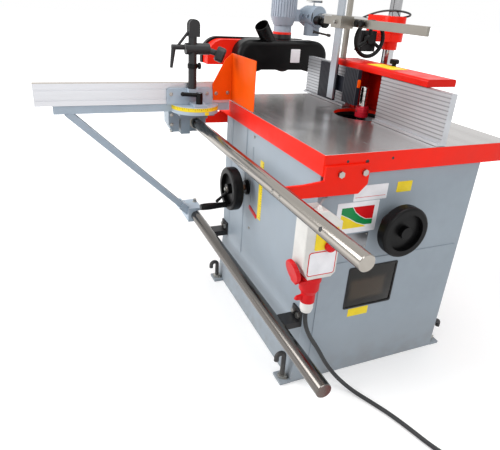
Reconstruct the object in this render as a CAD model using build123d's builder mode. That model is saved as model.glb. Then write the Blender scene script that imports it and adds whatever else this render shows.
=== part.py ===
from build123d import *
import os
from math import cos, pi, radians, sin

os.makedirs("parts", exist_ok=True)

# Millimetres, +Z up. The origin is the middle of the cabinet's foot, on the floor.
# The operator stands on the -Y side, and the work is fed along X.

# Table and cabinet
table_length = 905
table_depth = 750
table_height = 870
rim_height = 66
table_plate = 28
table_overhang_right = 18
table_overhang_front = 5
cabinet_width = 790
cabinet_depth = 640
cabinet_wall = 4
cabinet_seat = 30
base_thickness = 8
skirt_height = 235
skirt_depth = 15
skirt_slope = 200
seam_width = 2
seam_depth = 1.2
seam_places = (-342, -173)
spindle_x = -46
spindle_y = 117
table_hole_radius = 109
table_corner = 3

# Side panel and its window
panel_thickness = 3
panel_front = -272
panel_back = 300
panel_bottom = 60
panel_top = 484
window_y = -57.5
window_z = 372
window_width = 223
window_height = 188

# Feet and hook bolts
foot_width = 62
foot_length = 43
foot_thickness = 10
foot_inset = 30
hook_diameter = 18
hook_height = 94
tall_hook_height = 122
hook_bend = 15
hook_tip = 14
hook_nut_height = 12
hook_nut_size = 30

# Guide bars and their brackets
upper_bar_diameter = 44
upper_bar_length = 1664
upper_bar_y = -455
upper_bar_drop = 103
upper_bar_x = -5
lower_bar_diameter = 50
lower_bar_length = 1358
lower_bar_y = -404
lower_bar_z = 256
lower_bar_x = 10
bar_chamfer = 2
bracket_thickness = 10
bracket_arm_height = 40

bracket_seat_width = 154
bracket_drop = 61
lower_bracket_width = 62
lower_bracket_drop = 6
lower_bracket_height = 24
lower_bracket_flange = 8
lower_bracket_flange_height = 60
bolt_head_diameter = 19
bolt_head_height = 8

# Handwheel shafts
front_shaft_x = -139
front_shaft_drop = 305
side_shaft_y = -31
side_shaft_drop = 255
shaft_diameter = 22
flange_diameter = 62
flange_thickness = 14
flange_bevel = 6

# Window rim
window_rim = 12

# Bracket outline
bracket_corner = 30
bracket_top_drop = 6
bracket_toe = 3
bracket_notch = 10
bracket_cut_margin = 1

# Frame bolts
plate_bolt_rise = 8
plate_bolt_inset = 55
plate_bolt_spacing = 85
flange_bolt_drop = 20
flange_bolt_spacing = 30

# Switch box and stop button
switch_depth = 70
switch_left = -386
switch_right = -264
switch_bottom_drop = 384
switch_top_drop = 153
switch_cut_height = 44
switch_cut_width = 24
switch_slope_width = 56
switch_slope_height = 40
switch_corner = 16
switch_rounding = 5
stop_y = -305
stop_drop = 266
stop_stem_radius = 8
stop_head_radius = 18
stop_head_height = 16
stop_stand_off = 6
stop_stem_depth = 10

# Inlet and its lid
inlet_out = 35
inlet_y = -333
inlet_radius = 37
inlet_height = 18
lid_hinge_y = -376
lid_hinge_drop = 400
lid_pin_radius = 2.5
lid_ear_width = 8
lid_barrel_length = 32
lid_barrel_radius = 5
lid_radius = 39
lid_thickness = 14
lid_lean = 15
lid_offset = 4

# Cord connector and gland
connector_radius = 33
connector_length = 83
connector_neck = 24
gland_radius = 22
gland_length = 39
cord_diameter = 15
gland_taper = 4

# Mains cord and its coil
coil_turns = 2
coil_outer = 98
coil_pitch = 16.5
coil_step = 17
coil_rise = 6.2
coil_tail = 88
coil_start_angle = 110
coil_out = 568
coil_y = -82

# Plug
plug_length = 125
plug_radius = 30.5
plug_grip = 21
plug_wall = 4

# Guide and lift screw
guide_width = 140
guide_thickness = 35
guide_y = 192
guide_bottom_drop = 490
screw_x = -139
screw_y = 80
screw_radius = 10
screw_bottom_drop = 400
screw_top_drop = 80
screw_bearing_height = 20
screw_bearing_half = 21
screw_bracket_root = 6

# Quill, motor and belt
quill_radius = 45
quill_bottom_drop = 450
quill_top_drop = 70
bearing_radius = 31
bearing_width = 20
slide_width = 120
slide_bottom_drop = 310
slide_top_drop = 110
nut_bottom_drop = 170
nut_height = 40
nut_half = 20
motor_x = 164
motor_radius = 75
motor_plate_thickness = 14
motor_plate_margin = 12
motor_height = 220
motor_fillet = 12
motor_shaft_radius = 12
motor_hole_radius = 24
spindle_pulley_radius = 40
motor_pulley_radius = 55
pulley_width = 50
pulley_gap = 10
belt_thickness = 6
belt_width = 30
journal_radius = 20

# Pulley rims
pulley_rim = 6
pulley_rim_height = 7

# Spindle
arbor_radius = 15
arbor_top_rise = 108
collar_bottom_drop = 8
collar_top_rise = 35
collar_radius = 26
collar_seat_radius = 18
collar_chamfer = 4
arbor_groove = 1
arbor_groove_rises = (58, 80)
arbor_chamfer = 2

# Bevel pair
bevel_radius = 22
bevel_small_radius = 14
bevel_height = 18

# Front handwheel
front_wheel_y = -389
wheel_radius = 87.5
wheel_rim_width = 24
wheel_rim_depth = 42
wheel_web = 9
web_overlap = 1
wheel_hub_radius = 21
wheel_hub_front = 22
wheel_hub_back = 30
wheel_rim_fillet = 9

# Crank pin
crank_ring = 68
crank_pin_radius = 5
crank_length = 108
crank_gap = 0.5

# Crank handle
crank_root_radius = 12
crank_belly_radius = 14
crank_neck_radius = 11.5

# Side handwheel
side_wheel_out = 73
side_shaft_depth = 65

# Carriage, beam and quadrant
carriage_left = -478
carriage_right = -400
carriage_front = -579
carriage_top_drop = 32
carriage_plate = 12
carriage_plate_right = -290
carriage_plate_front = -560
carriage_plate_back = -418
carriage_block = 36
lug_setback = 25
lug_bottom_drop = 140
lug_back = -410
inner_leg_front = -526
inner_leg_back = -487
inner_leg_drop = 144
outer_leg_back = -535
outer_leg_drop = 133
outer_leg_slope = 17
outer_leg_knee = 30
bush_wall = 5
beam_left = -362
beam_right = -334
beam_height = 30
beam_front = -1020
beam_back = -338
beam_edge = 3
pivot_x = -332
pivot_y = -489
quadrant_radius = 94

# Strut
strut_foot_x = -628
strut_foot_length = 120
foot_wall = 14
foot_roof = 14
foot_roof_gap = 2
foot_reach = 30
foot_drop = 30
strut_root_shift = 16
strut_socket_length = 95
strut_socket_wall = 6
strut_head_y = -975
strut_head_rise = 7
strut_width = 40
strut_depth = 26
strut_groove_width = 12
strut_groove_depth = 3.5

# Fence block
swivel_gap = 0.5
fence_block_left = -330
fence_block_right = -316
fence_boss_right = -290
fence_boss_half = 20
fence_boss_height = 26
fence_block_front = -603
fence_block_back = -420
fence_block_top_rise = 60
fence_block_corner = 12
tongue_right = -245
tongue_half = 26
tongue_height = 10
lever_x = -268
lever_pin_radius = 6
lever_boss_radius = 13
lever_boss_height = 42
pillar_x = -310
pillar_y = -505
pillar_radius = 16
pillar_socket = 25

# Mitre fence
mitre_thickness = 30
mitre_height = 80
mitre_front = -1080
mitre_back = -340
mitre_slot_height = 8
mitre_slot_depth = 3.5
mitre_slots = (22, 58)

# Guard
guard_sheet = 3
guard_y = -333
guard_right = -92
guard_bottom_rise = 10
guard_top_rise = 192
guard_corner = 5
guard_wing_reach = 75
guard_wing_peak_reach = 81
guard_wing_peak = 62
guard_slope_reach = 29
guard_slope_drop = 25

# Locking lever
lever_arm_length = 66
lever_arm_radius = 7.5
lever_arm_drop = 9
lever_arm_lift = 5
lever_knob_radius = 8.5

# Clamp pillar
pillar_top_rise = 250
fork_floor = 6
fork_width = 34
fork_radius = 21
fork_slot = 12
fork_pin_y = -502
fork_pin_rise = 290
fork_pin_radius = 5

# Clamp lever
lever_eye_radius = 11
lever_rod_radius = 5
hub_y = -566
hub_rise = 212
hub_radius = 9.5
hub_left = -586
hub_right = -537
handle_y = -578
handle_end_y = -588
handle_end_rise = 138
handle_radius = 9
handle_end_radius = 5.5

# Pillar clamp
clamp_rise = 207
clamp_radius = 21
clamp_left = -533
clamp_right = -440
neck_x = -300
neck_y = -410
neck_drop = 14
clamp_neck_radius = 11
pad_x = -288
pad_y = -384
pad_drop = 24
pad_radius = 28
pad_edge = 5

# Fence hood
hood_left = -206
hood_right = 114
hood_front = 156
hood_back = 250
hood_top_rise = 166
hood_wall = 6
hood_flange = 50
cover_left = -264
cover_right = 300
cover_front = 100
cover_back = 220
cover_height = 24
cover_edge = 8

# Fence plates
plate_thickness = 25
plate_length = 346
plate_bottom_gap = 1
plate_top_rise = 164
left_plate_start = -533
left_plate_front = 130
right_plate_start = 64
right_plate_front = 100
plate_ribs = 12
plate_rib_groove = 4
plate_rib_depth = 2
ledge_height = 9
ledge_depth = 12

# Pressure bars
post_size = 17
post_x = -230
post_y = 118
post_top_rise = 460
cross_left = -383
cross_right = 250
cross_bottom_rise = 315
cross_height = 30
cross_thickness = 12
holder_bar_x = -195
holder_bar_width = 42
holder_bar_thickness = 9
holder_bar_back = 61
holder_block_margin = 14

# Pressure shoes
holder_bottom_rise = 38
rail_bottom_rise = 70
rail_height = 60
rail_end = -75
rail_thickness = 6
shoe_thickness = 16
shoe_top_rise = 172
shoe_rib_pitch = 10
shoe_rib_groove = 3
left_shoe = (-306, -190)
right_shoe = (-118, -27)
left_shoe_rise = 28
right_shoe_rise = 40

# Feeder column
column_x = -260
column_y = 365
column_radius = 25
column_top_rise = 570
column_flange_radius = 55
column_flange_height = 22

# Feeder sleeve
sleeve_bottom_rise = 227
sleeve_top_rise = 293
sleeve_radius = 50
sleeve_collar_radius = 33
sleeve_collar_height = 33
sleeve_block_left = -305
sleeve_block_right = -222
sleeve_block_front = 262
gear_box_left = -270
gear_box_front = 190
gear_box_bottom_rise = 220
gear_box_top_rise = 300
gear_box_corner = 8
feed_shaft_y = 210
feed_shaft_rise = 270
feed_shaft_radius = 9
feed_shaft_depth = 40

# Feeder handwheel
feed_wheel_x = -196
feed_wheel_radius = 74
feed_rim_radius = 8
feed_hub_radius = 17
feed_hub_length = 26
feed_spokes = 3
feed_spoke_radius = 7

# Feeder head and arm
head_top_rise = 360
head_radius = 52
head_width = 76
head_reach = 110
arm_radius = 20
arm_rise = 327
knuckle_x = -760
knuckle_y = 258
arm_start = 40

# Knuckle
knuckle_radius = 50
knuckle_length = 92
knuckle_boss_radius = 40
knuckle_boss_bottom_rise = 238
knuckle_hole_radius = 9
knuckle_hole_depth = 8
knuckle_hole_spread = 20
knob_radius = 22
knob_length = 34
knob_seat = 10
knob_rise = -14
knob_shift = 17
tee_stem_radius = 4
tee_radius = 6
tee_length = 110
tee_height = 20

# Feeder motor
feed_motor_x = -800
feed_motor_y = 112
feed_motor_radius = 64
feed_motor_top_rise = 530
cone_top_rise = 319
cone_bottom_rise = 280
cone_small_radius = 50
boss_radius = 45
boss_bottom_rise = 248
feed_collar_radius = 48
feed_collar_rise = 217
neck_radius = 18
fin_depth = 5
fin_width = 4
fin_count = 28
fin_top_rise = 500
bracket_plate = 26
bracket_radius = 40
bracket_width = 56
body_top_rise = 205

# Feeder body and rollers
far_cover_left = -880
far_cover_margin = 8
body_left = -850
body_right = -780
body_front = -290
body_back = 320
body_bottom_rise = 90
body_shoulder = 85
body_edge = 14
skirt_right = -690
roller_places = (-60, 90, 240)
roller_radius = 60
roller_width = 60
roller_edge = 4
roller_drop = 13
cover_bottom_rise = 78
axle_radius = 8
axle_end = 8

# Feeder cover
cover_front_y = -165
cover_back_y = 331
cover_top_rise = 215
cover_wall = 4
cover_shoulder = 75
cover_edge_radius = 26
port_radius = 34
port_wall = 4
port_depth = 45
port_x = -738
port_y = 20
port_sink = 23
port_lean_x = 38
port_lean_y = 70
port_height = 88

# Shared clearances
seat_gap = 0.02
body_gap = 0.4
running_gap = 0.05

# Places worked out from the sizes above
table_right = cabinet_width / 2 + table_overhang_right
table_left = table_right - table_length
table_front = -cabinet_depth / 2 - table_overhang_front
table_back = table_front + table_depth
rim_bottom = table_height - rim_height
cabinet_front = -cabinet_depth / 2
cabinet_right = cabinet_width / 2
inlet_x = cabinet_right + inlet_out
side_wheel_x = cabinet_right + side_wheel_out
side_shaft_end = cabinet_right - side_shaft_depth
coil_x = cabinet_right + coil_out
upper_bar_radius = upper_bar_diameter / 2
lower_bar_radius = lower_bar_diameter / 2
foot_spacing = cabinet_width - 2 * foot_inset
upper_bar_z = table_height - upper_bar_drop
front_shaft_z = table_height - front_shaft_drop
side_shaft_z = table_height - side_shaft_drop
switch_bottom = table_height - switch_bottom_drop
switch_top = table_height - switch_top_drop
stop_z = table_height - stop_drop
lid_hinge_z = table_height - lid_hinge_drop
guide_bottom = table_height - guide_bottom_drop
screw_bottom = table_height - screw_bottom_drop
screw_top = table_height - screw_top_drop
quill_bottom = table_height - quill_bottom_drop
quill_top = table_height - quill_top_drop
slide_bottom = table_height - slide_bottom_drop
slide_top = table_height - slide_top_drop
nut_bottom = table_height - nut_bottom_drop
arbor_top = table_height + arbor_top_rise
collar_bottom = table_height - collar_bottom_drop
collar_top = table_height + collar_top_rise
carriage_top = table_height - carriage_top_drop
lug_bottom = table_height - lug_bottom_drop
inner_leg_bottom = table_height - inner_leg_drop
outer_leg_bottom = table_height - outer_leg_drop
fence_block_top = table_height + fence_block_top_rise
guard_bottom = table_height + guard_bottom_rise
guard_top = table_height + guard_top_rise
pillar_top = table_height + pillar_top_rise
fork_pin_z = table_height + fork_pin_rise
hub_z = table_height + hub_rise
handle_end_z = table_height + handle_end_rise
clamp_z = table_height + clamp_rise
hood_top = table_height + hood_top_rise
plate_top = table_height + plate_top_rise
post_top = table_height + post_top_rise
cross_bottom = table_height + cross_bottom_rise
holder_bottom = table_height + holder_bottom_rise
rail_bottom = table_height + rail_bottom_rise
shoe_top = table_height + shoe_top_rise
column_top = table_height + column_top_rise
sleeve_bottom = table_height + sleeve_bottom_rise
sleeve_top = table_height + sleeve_top_rise
gear_box_bottom = table_height + gear_box_bottom_rise
gear_box_top = table_height + gear_box_top_rise
feed_shaft_z = table_height + feed_shaft_rise
head_top = table_height + head_top_rise
arm_z = table_height + arm_rise
knuckle_boss_bottom = table_height + knuckle_boss_bottom_rise
feed_motor_top = table_height + feed_motor_top_rise
cone_top = table_height + cone_top_rise
cone_bottom = table_height + cone_bottom_rise
boss_bottom = table_height + boss_bottom_rise
feed_collar_bottom = table_height + feed_collar_rise
fin_top = table_height + fin_top_rise
body_top = table_height + body_top_rise
body_bottom = table_height + body_bottom_rise
cover_bottom = table_height + cover_bottom_rise
cover_top = table_height + cover_top_rise


def block(x_span, y_span, z_span, mode=Mode.ADD):
    """Add or cut a square block between two corners."""
    (x0, x1), (y0, y1), (z0, z1) = x_span, y_span, z_span
    with Locations(((x0 + x1) / 2, (y0 + y1) / 2, (z0 + z1) / 2)):
        Box(x1 - x0, y1 - y0, z1 - z0, mode=mode)


def rod(start, end, radius, mode=Mode.ADD):
    """Add or cut a round rod from one point to another."""
    axis = Vector(end) - Vector(start)
    with Locations(Plane(origin=start, z_dir=axis)):
        Cylinder(radius, axis.length, align=(Align.CENTER, Align.CENTER, Align.MIN), mode=mode)


def hex_head(start, end, across):
    """Add a hexagonal prism from one point to another."""
    axis = Vector(end) - Vector(start)
    with BuildSketch(Plane(origin=start, z_dir=axis), mode=Mode.PRIVATE) as outline:
        RegularPolygon(across / 2, 6, major_radius=False)
    add(extrude(outline.sketch, amount=axis.length, mode=Mode.PRIVATE))


def turned(origin, axis, profile, mode=Mode.ADD, rounding=0):
    """Add or cut a turned piece, from points of radius and distance along its axis."""
    origin = Vector(origin)
    axis = Vector(axis).normalized()
    side = Vector(1, 0, 0) if abs(axis.Z) > 0.9 else axis.cross(Vector(0, 0, 1)).normalized()
    with BuildSketch(Plane(origin=origin, x_dir=side, z_dir=side.cross(axis)), mode=Mode.PRIVATE) as outline:
        with BuildLine():
            Polyline(*profile, close=True)
        make_face()
        if rounding:
            fillet(outline.vertices().sort_by(Axis.X)[-2:], rounding)
    add(revolve(outline.sketch, axis=Axis(origin, axis), mode=Mode.PRIVATE), mode=mode)


def keep(piece, name):
    """Label a finished piece and write its STEP file."""
    piece.part.label = name
    export_step(piece.part, f"parts/{name}.step")


# Base plate that the cabinet is welded to, with foot plates in front of the skirt and at the back
foot_places = [
    (side * foot_spacing / 2, place)
    for side in (-1, 1)
    for place in (cabinet_front - skirt_depth - foot_length / 2, -cabinet_front + foot_length / 2)
]
with BuildPart() as base_plate:
    block(
        (-cabinet_right, cabinet_right),
        (cabinet_front - skirt_depth, -cabinet_front),
        (0, base_thickness),
    )
    with Locations([(x, y, foot_thickness / 2) for x, y in foot_places]):
        Box(foot_width, foot_length, foot_thickness)
        Cylinder(hook_diameter / 2 + seat_gap, foot_thickness, mode=Mode.SUBTRACT)
keep(base_plate, "base_plate")

# Sheet-steel cabinet: four walls, a deeper skirt along the front and fold lines in the front sheet
shaft_hole_radius = shaft_diameter / 2 + running_gap
with BuildPart() as cabinet:
    block(
        (-cabinet_right, cabinet_right),
        (cabinet_front, -cabinet_front),
        (base_thickness, rim_bottom),
    )
    with BuildSketch(Plane.YZ.offset(-cabinet_right)) as skirt:
        with BuildLine():
            Polyline(
                (cabinet_front + cabinet_wall, base_thickness),
                (cabinet_front - skirt_depth, base_thickness),
                (cabinet_front - skirt_depth, skirt_height - skirt_slope),
                (cabinet_front, skirt_height),
                (cabinet_front + cabinet_wall, skirt_height),
                close=True,
            )
        make_face()
    extrude(amount=cabinet_width)
    block(
        (cabinet_wall - cabinet_right, cabinet_right - cabinet_wall),
        (cabinet_front + cabinet_wall, -cabinet_front - cabinet_wall),
        (base_thickness, rim_bottom),
        mode=Mode.SUBTRACT,
    )
    for seam_x in seam_places:
        block(
            (seam_x - seam_width / 2, seam_x + seam_width / 2),
            (cabinet_front, cabinet_front + seam_depth),
            (skirt_height, rim_bottom),
            mode=Mode.SUBTRACT,
        )
    block(
        (cabinet_right - cabinet_wall, cabinet_right),
        (window_y - window_width / 2, window_y + window_width / 2),
        (window_z - window_height / 2, window_z + window_height / 2),
        mode=Mode.SUBTRACT,
    )
    rod(
        (front_shaft_x, cabinet_front - skirt_depth, front_shaft_z),
        (front_shaft_x, cabinet_front + cabinet_wall, front_shaft_z),
        shaft_hole_radius,
        mode=Mode.SUBTRACT,
    )
    rod(
        (cabinet_right - cabinet_wall, side_shaft_y, side_shaft_z),
        (cabinet_right, side_shaft_y, side_shaft_z),
        shaft_hole_radius,
        mode=Mode.SUBTRACT,
    )
keep(cabinet, "cabinet")

# Lower side panel, screwed over the belt space, with its window opening
with BuildPart() as side_panel:
    block(
        (cabinet_right, cabinet_right + panel_thickness),
        (panel_front, panel_back),
        (panel_bottom, panel_top),
    )
    block(
        (cabinet_right, cabinet_right + panel_thickness),
        (window_y - window_width / 2 + window_rim, window_y + window_width / 2 - window_rim),
        (window_z - window_height / 2 + window_rim, window_z + window_height / 2 - window_rim),
        mode=Mode.SUBTRACT,
    )
keep(side_panel, "side_panel")

# Hook bolts in the foot plates, each with its nut
with BuildPart() as anchor_hooks:
    for x, y in foot_places:
        hex_head((x, y, foot_thickness), (x, y, foot_thickness + hook_nut_height), hook_nut_size)
        rod(
            (x, y, foot_thickness),
            (x, y, foot_thickness + hook_nut_height),
            hook_diameter / 2 + seat_gap,
            mode=Mode.SUBTRACT,
        )
    for x, y in foot_places:
        out = 1 if y > 0 else -1
        hook_top = tall_hook_height if x > 0 and out < 0 else hook_height
        bend_z = hook_top - hook_bend
        tip_y = y + out * 2 * hook_bend
        with BuildLine() as hook_line:
            Line((x, y, 0), (x, y, bend_z))
            ThreePointArc((x, y, bend_z), (x, y + out * hook_bend, hook_top), (x, tip_y, bend_z))
            Line((x, tip_y, bend_z), (x, tip_y, bend_z - hook_tip))
        with BuildSketch(Plane.XY.move(Location((x, y, 0)))):
            Circle(hook_diameter / 2)
        sweep(path=hook_line.line)
keep(anchor_hooks, "anchor_hooks")

# Cast-iron table: a ground plate with a deep painted rim, hollow over the cabinet
with BuildPart() as table:
    block((table_left, table_right), (table_front, table_back), (rim_bottom, table_height))
    block(
        (cabinet_seat - cabinet_right, cabinet_right - cabinet_seat),
        (cabinet_front + cabinet_seat, -cabinet_front - cabinet_seat),
        (rim_bottom, table_height - table_plate),
        mode=Mode.SUBTRACT,
    )
    rod(
        (spindle_x, spindle_y, rim_bottom),
        (spindle_x, spindle_y, table_height),
        table_hole_radius,
        mode=Mode.SUBTRACT,
    )
    chamfer(table.edges().filter_by(Axis.Z).group_by(Axis.Y)[0], table_corner)
keep(table, "table")

# Plates bolted to the ends of the table, each with an arm out to the upper bar
bracket_back = cabinet_front + bracket_seat_width
bracket_top = rim_bottom + bracket_arm_height - bracket_top_drop
arm_low = upper_bar_z - bracket_arm_height / 2
arm_high = upper_bar_z + bracket_arm_height / 2
bracket_bottom = rim_bottom - bracket_drop


def bracket_outline(plane):
    """Cut one table bracket from plate, lying on the given plane."""
    with BuildSketch(plane, mode=Mode.PRIVATE) as outline:
        with BuildLine():
            Polyline(
                (upper_bar_y, arm_low),
                (bracket_back - bracket_corner, bracket_bottom),
                (bracket_back, bracket_bottom + bracket_corner),
                (bracket_back, bracket_top),
                (table_front + bracket_toe, bracket_top),
                (table_front + bracket_toe, rim_bottom - bracket_notch),
                (upper_bar_y + 3 * upper_bar_radius, arm_high),
                (upper_bar_y, arm_high),
                close=True,
            )
        make_face()
    add(extrude(outline.sketch, amount=bracket_thickness, mode=Mode.PRIVATE))


bar_start = upper_bar_x - upper_bar_length / 2
bar_end = upper_bar_x + upper_bar_length / 2
with BuildPart() as bar_brackets:
    bracket_outline(Plane.YZ.offset(table_right))
    bracket_outline(Plane.YZ.offset(table_left - bracket_thickness))
    rod(
        (bar_start, upper_bar_y, upper_bar_z),
        (bar_end, upper_bar_y, upper_bar_z),
        upper_bar_radius + seat_gap,
        mode=Mode.SUBTRACT,
    )
    block(
        (table_left - bracket_thickness, table_right + bracket_thickness),
        (upper_bar_y - 2 * upper_bar_radius, upper_bar_y),
        (arm_low - bracket_cut_margin, arm_high + bracket_cut_margin),
        mode=Mode.SUBTRACT,
    )
keep(bar_brackets, "bar_brackets")

# Polished upper bar that the carriage runs on
with BuildPart() as upper_bar:
    rod((bar_start, upper_bar_y, upper_bar_z), (bar_end, upper_bar_y, upper_bar_z), upper_bar_radius)
    chamfer(upper_bar.edges().filter_by(GeomType.CIRCLE), bar_chamfer)
keep(upper_bar, "upper_bar")

# Lower bar that the strut's foot runs on
lower_start = lower_bar_x - lower_bar_length / 2
lower_end = lower_bar_x + lower_bar_length / 2
with BuildPart() as lower_bar:
    rod((lower_start, lower_bar_y, lower_bar_z), (lower_end, lower_bar_y, lower_bar_z), lower_bar_radius)
    chamfer(lower_bar.edges().filter_by(GeomType.CIRCLE), bar_chamfer)
keep(lower_bar, "lower_bar")

# Black box brackets between the cabinet's front and the lower bar
half_box = lower_bracket_width / 2
lower_bracket_bottom = lower_bar_z - lower_bracket_drop
flange_front = cabinet_front - lower_bracket_flange
with BuildPart() as lower_brackets:
    for side in (-1, 1):
        middle = side * foot_spacing / 2
        block(
            (middle - half_box, middle + half_box),
            (flange_front, cabinet_front),
            (lower_bracket_bottom, lower_bracket_bottom + lower_bracket_flange_height),
        )
        block(
            (middle - half_box, middle + half_box),
            (lower_bar_y, flange_front),
            (lower_bracket_bottom, lower_bracket_bottom + lower_bracket_height),
        )
    rod(
        (lower_start, lower_bar_y, lower_bar_z),
        (lower_end, lower_bar_y, lower_bar_z),
        lower_bar_radius + seat_gap,
        mode=Mode.SUBTRACT,
    )
keep(lower_brackets, "lower_brackets")

# Hexagon bolts of the table plates and of the box brackets
plate_bolt_z = rim_bottom + plate_bolt_rise
with BuildPart() as frame_bolts:
    for step in (0, 1):
        bolt_y = table_front + plate_bolt_inset + step * plate_bolt_spacing
        for start, way in ((table_right + bracket_thickness, 1), (table_left - bracket_thickness, -1)):
            hex_head(
                (start, bolt_y, plate_bolt_z),
                (start + way * bolt_head_height, bolt_y, plate_bolt_z),
                bolt_head_diameter,
            )
    for side in (-1, 1):
        for step in (-1, 1):
            bolt_x = side * foot_spacing / 2 + step * flange_bolt_spacing / 2
            bolt_z = lower_bracket_bottom + lower_bracket_flange_height - flange_bolt_drop
            hex_head(
                (bolt_x, flange_front, bolt_z),
                (bolt_x, flange_front - bolt_head_height, bolt_z),
                bolt_head_diameter,
            )
keep(frame_bolts, "frame_bolts")

# Switch box on the cabinet's right face, cut away at the lower left for the inlet's lid and sloped
# at the upper right
switch_front = cabinet_right + switch_depth
with BuildPart() as switch_box:
    with BuildSketch(Plane.YZ.offset(cabinet_right)):
        with BuildLine():
            Polyline(
                (switch_left, switch_top),
                (switch_left, switch_bottom + switch_cut_height),
                (switch_left + switch_cut_width, switch_bottom),
                (switch_right - switch_corner, switch_bottom),
                (switch_right, switch_bottom + switch_corner),
                (switch_right, switch_top - switch_slope_height),
                (switch_right - switch_slope_width, switch_top),
                close=True,
            )
        make_face()
    extrude(amount=switch_depth)
    fillet(switch_box.faces().sort_by(Axis.X)[-1].edges(), switch_rounding)
    rod(
        (switch_front, stop_y, stop_z),
        (switch_front - stop_stem_depth - stop_stand_off, stop_y, stop_z),
        stop_stem_radius + running_gap,
        mode=Mode.SUBTRACT,
    )
keep(switch_box, "switch_box")

# Mushroom stop button
with BuildPart() as stop_button:
    head_back = switch_front + stop_stand_off
    rod((switch_front - stop_stem_depth, stop_y, stop_z), (head_back, stop_y, stop_z), stop_stem_radius)
    rod((head_back, stop_y, stop_z), (head_back + stop_head_height, stop_y, stop_z), stop_head_radius)
    fillet(stop_button.edges().filter_by(GeomType.CIRCLE).sort_by(Axis.X)[-1], stop_head_height / 2)
keep(stop_button, "stop_button")

# Round plug inlet under the box, with ears and a pin for its lid
inlet_bottom = switch_bottom - inlet_height
barrel_half = lid_barrel_length / 2
ear_outer = barrel_half + body_gap + lid_ear_width
with BuildPart() as inlet_socket:
    rod((inlet_x, inlet_y, inlet_bottom), (inlet_x, inlet_y, switch_bottom), inlet_radius)
    for side in (-1, 1):
        ear_ends = sorted((inlet_x + side * (barrel_half + body_gap), inlet_x + side * ear_outer))
        block(
            ear_ends,
            (lid_hinge_y - lid_barrel_radius, inlet_y),
            (inlet_bottom, inlet_bottom + inlet_height / 2),
        )
    rod(
        (inlet_x - ear_outer, lid_hinge_y, lid_hinge_z),
        (inlet_x + ear_outer, lid_hinge_y, lid_hinge_z),
        lid_pin_radius,
    )
keep(inlet_socket, "inlet_socket")

# Inlet lid, held open beside the box
lid_up = Vector(0, -sin(radians(lid_lean)), cos(radians(lid_lean)))
lid_out = Vector(0, -cos(radians(lid_lean)), -sin(radians(lid_lean)))
lid_hinge = Vector(inlet_x, lid_hinge_y, lid_hinge_z)
lid_centre = lid_hinge + lid_up * (lid_radius + lid_offset)
with BuildPart() as inlet_lid:
    rod(
        lid_centre + lid_out * lid_offset,
        lid_centre + lid_out * (lid_offset + lid_thickness),
        lid_radius,
    )
    fillet(inlet_lid.edges().filter_by(GeomType.CIRCLE), lid_thickness / 4)
    with Locations(Plane(origin=lid_hinge, x_dir=(1, 0, 0), z_dir=lid_up)):
        Box(
            lid_barrel_length - 2 * body_gap,
            lid_offset + lid_thickness,
            2 * lid_offset + lid_barrel_radius,
            align=(Align.CENTER, Align.MAX, Align.MIN),
        )
    rod(
        lid_hinge - Vector(barrel_half, 0, 0),
        lid_hinge + Vector(barrel_half, 0, 0),
        lid_barrel_radius,
    )
    rod(
        lid_hinge - Vector(barrel_half, 0, 0),
        lid_hinge + Vector(barrel_half, 0, 0),
        lid_pin_radius + running_gap,
        mode=Mode.SUBTRACT,
    )
keep(inlet_lid, "inlet_lid")

# Connector of the mains cord, pushed up into the inlet, and its pale gland nut
cord_radius = cord_diameter / 2
connector_bottom = inlet_bottom - connector_length
gland_bottom = connector_bottom - gland_length
connector_shoulder = connector_length * 0.4
with BuildPart() as mains_connector:
    turned(
        (inlet_x, inlet_y, inlet_bottom),
        (0, 0, -1),
        [
            (0, 0),
            (connector_radius, 0),
            (connector_radius, connector_shoulder),
            (connector_neck, 1.5 * connector_shoulder),
            (connector_neck, connector_length),
            (0, connector_length),
        ],
    )
keep(mains_connector, "mains_connector")

with BuildPart() as cord_gland:
    turned(
        (inlet_x, inlet_y, connector_bottom),
        (0, 0, -1),
        [
            (0, 0),
            (gland_radius, 0),
            (gland_radius, gland_length * 2 / 3),
            (gland_radius - gland_taper, gland_length),
            (0, gland_length),
        ],
    )
keep(cord_gland, "cord_gland")

# Mains cord: down from the gland, over to the floor and away to the front right
floor_z = cord_radius + 0.4
quarters = 4 * coil_turns
turn_slope = coil_pitch / (2 * pi * (coil_outer - coil_pitch))


def coil_point(angle, radius, height):
    """A point of the coil, clockwise from its start."""
    turn = radians(coil_start_angle - angle)
    return Vector(coil_x + radius * cos(turn), coil_y + radius * sin(turn), height)


start_turn = radians(coil_start_angle)
coil_heading = Vector(sin(start_turn), -cos(start_turn), 0)
coil_inward = Vector(-cos(start_turn), -sin(start_turn), 0)
coil_tangent = (coil_heading + coil_inward * turn_slope).normalized()
coil_start = coil_point(0, coil_outer, floor_z)
coil_entry = coil_start - coil_tangent * cord_diameter
cord_points = [
    Vector(inlet_x, inlet_y, gland_bottom),
    Vector(inlet_x, inlet_y, gland_bottom - 45),
    Vector(cabinet_right + 35, -309, 238),
    Vector(cabinet_right + 36, -262, 165),
    Vector(cabinet_right + 42, -222, 90),
    Vector(cabinet_right + 67, -184, 38),
    Vector(cabinet_right + 120, -148, 12),
    Vector(cabinet_right + 185, -113, floor_z),
    Vector(cabinet_right + 255, -82, floor_z),
    Vector(cabinet_right + 330, -58, floor_z),
    Vector(cabinet_right + 398, -40, floor_z),
    coil_entry - coil_tangent * 4 * cord_diameter,
    coil_entry,
]
cord_radii = []
for before, corner, after in zip(cord_points, cord_points[1:], cord_points[2:]):
    turn = (corner - before).get_angle(after - corner)
    shorter = min((corner - before).length, (after - corner).length)
    cord_radii.append(0.45 * shorter / (sin(radians(turn / 2)) / cos(radians(turn / 2))))
print("cord bend radii", [round(radius) for radius in cord_radii])
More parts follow.
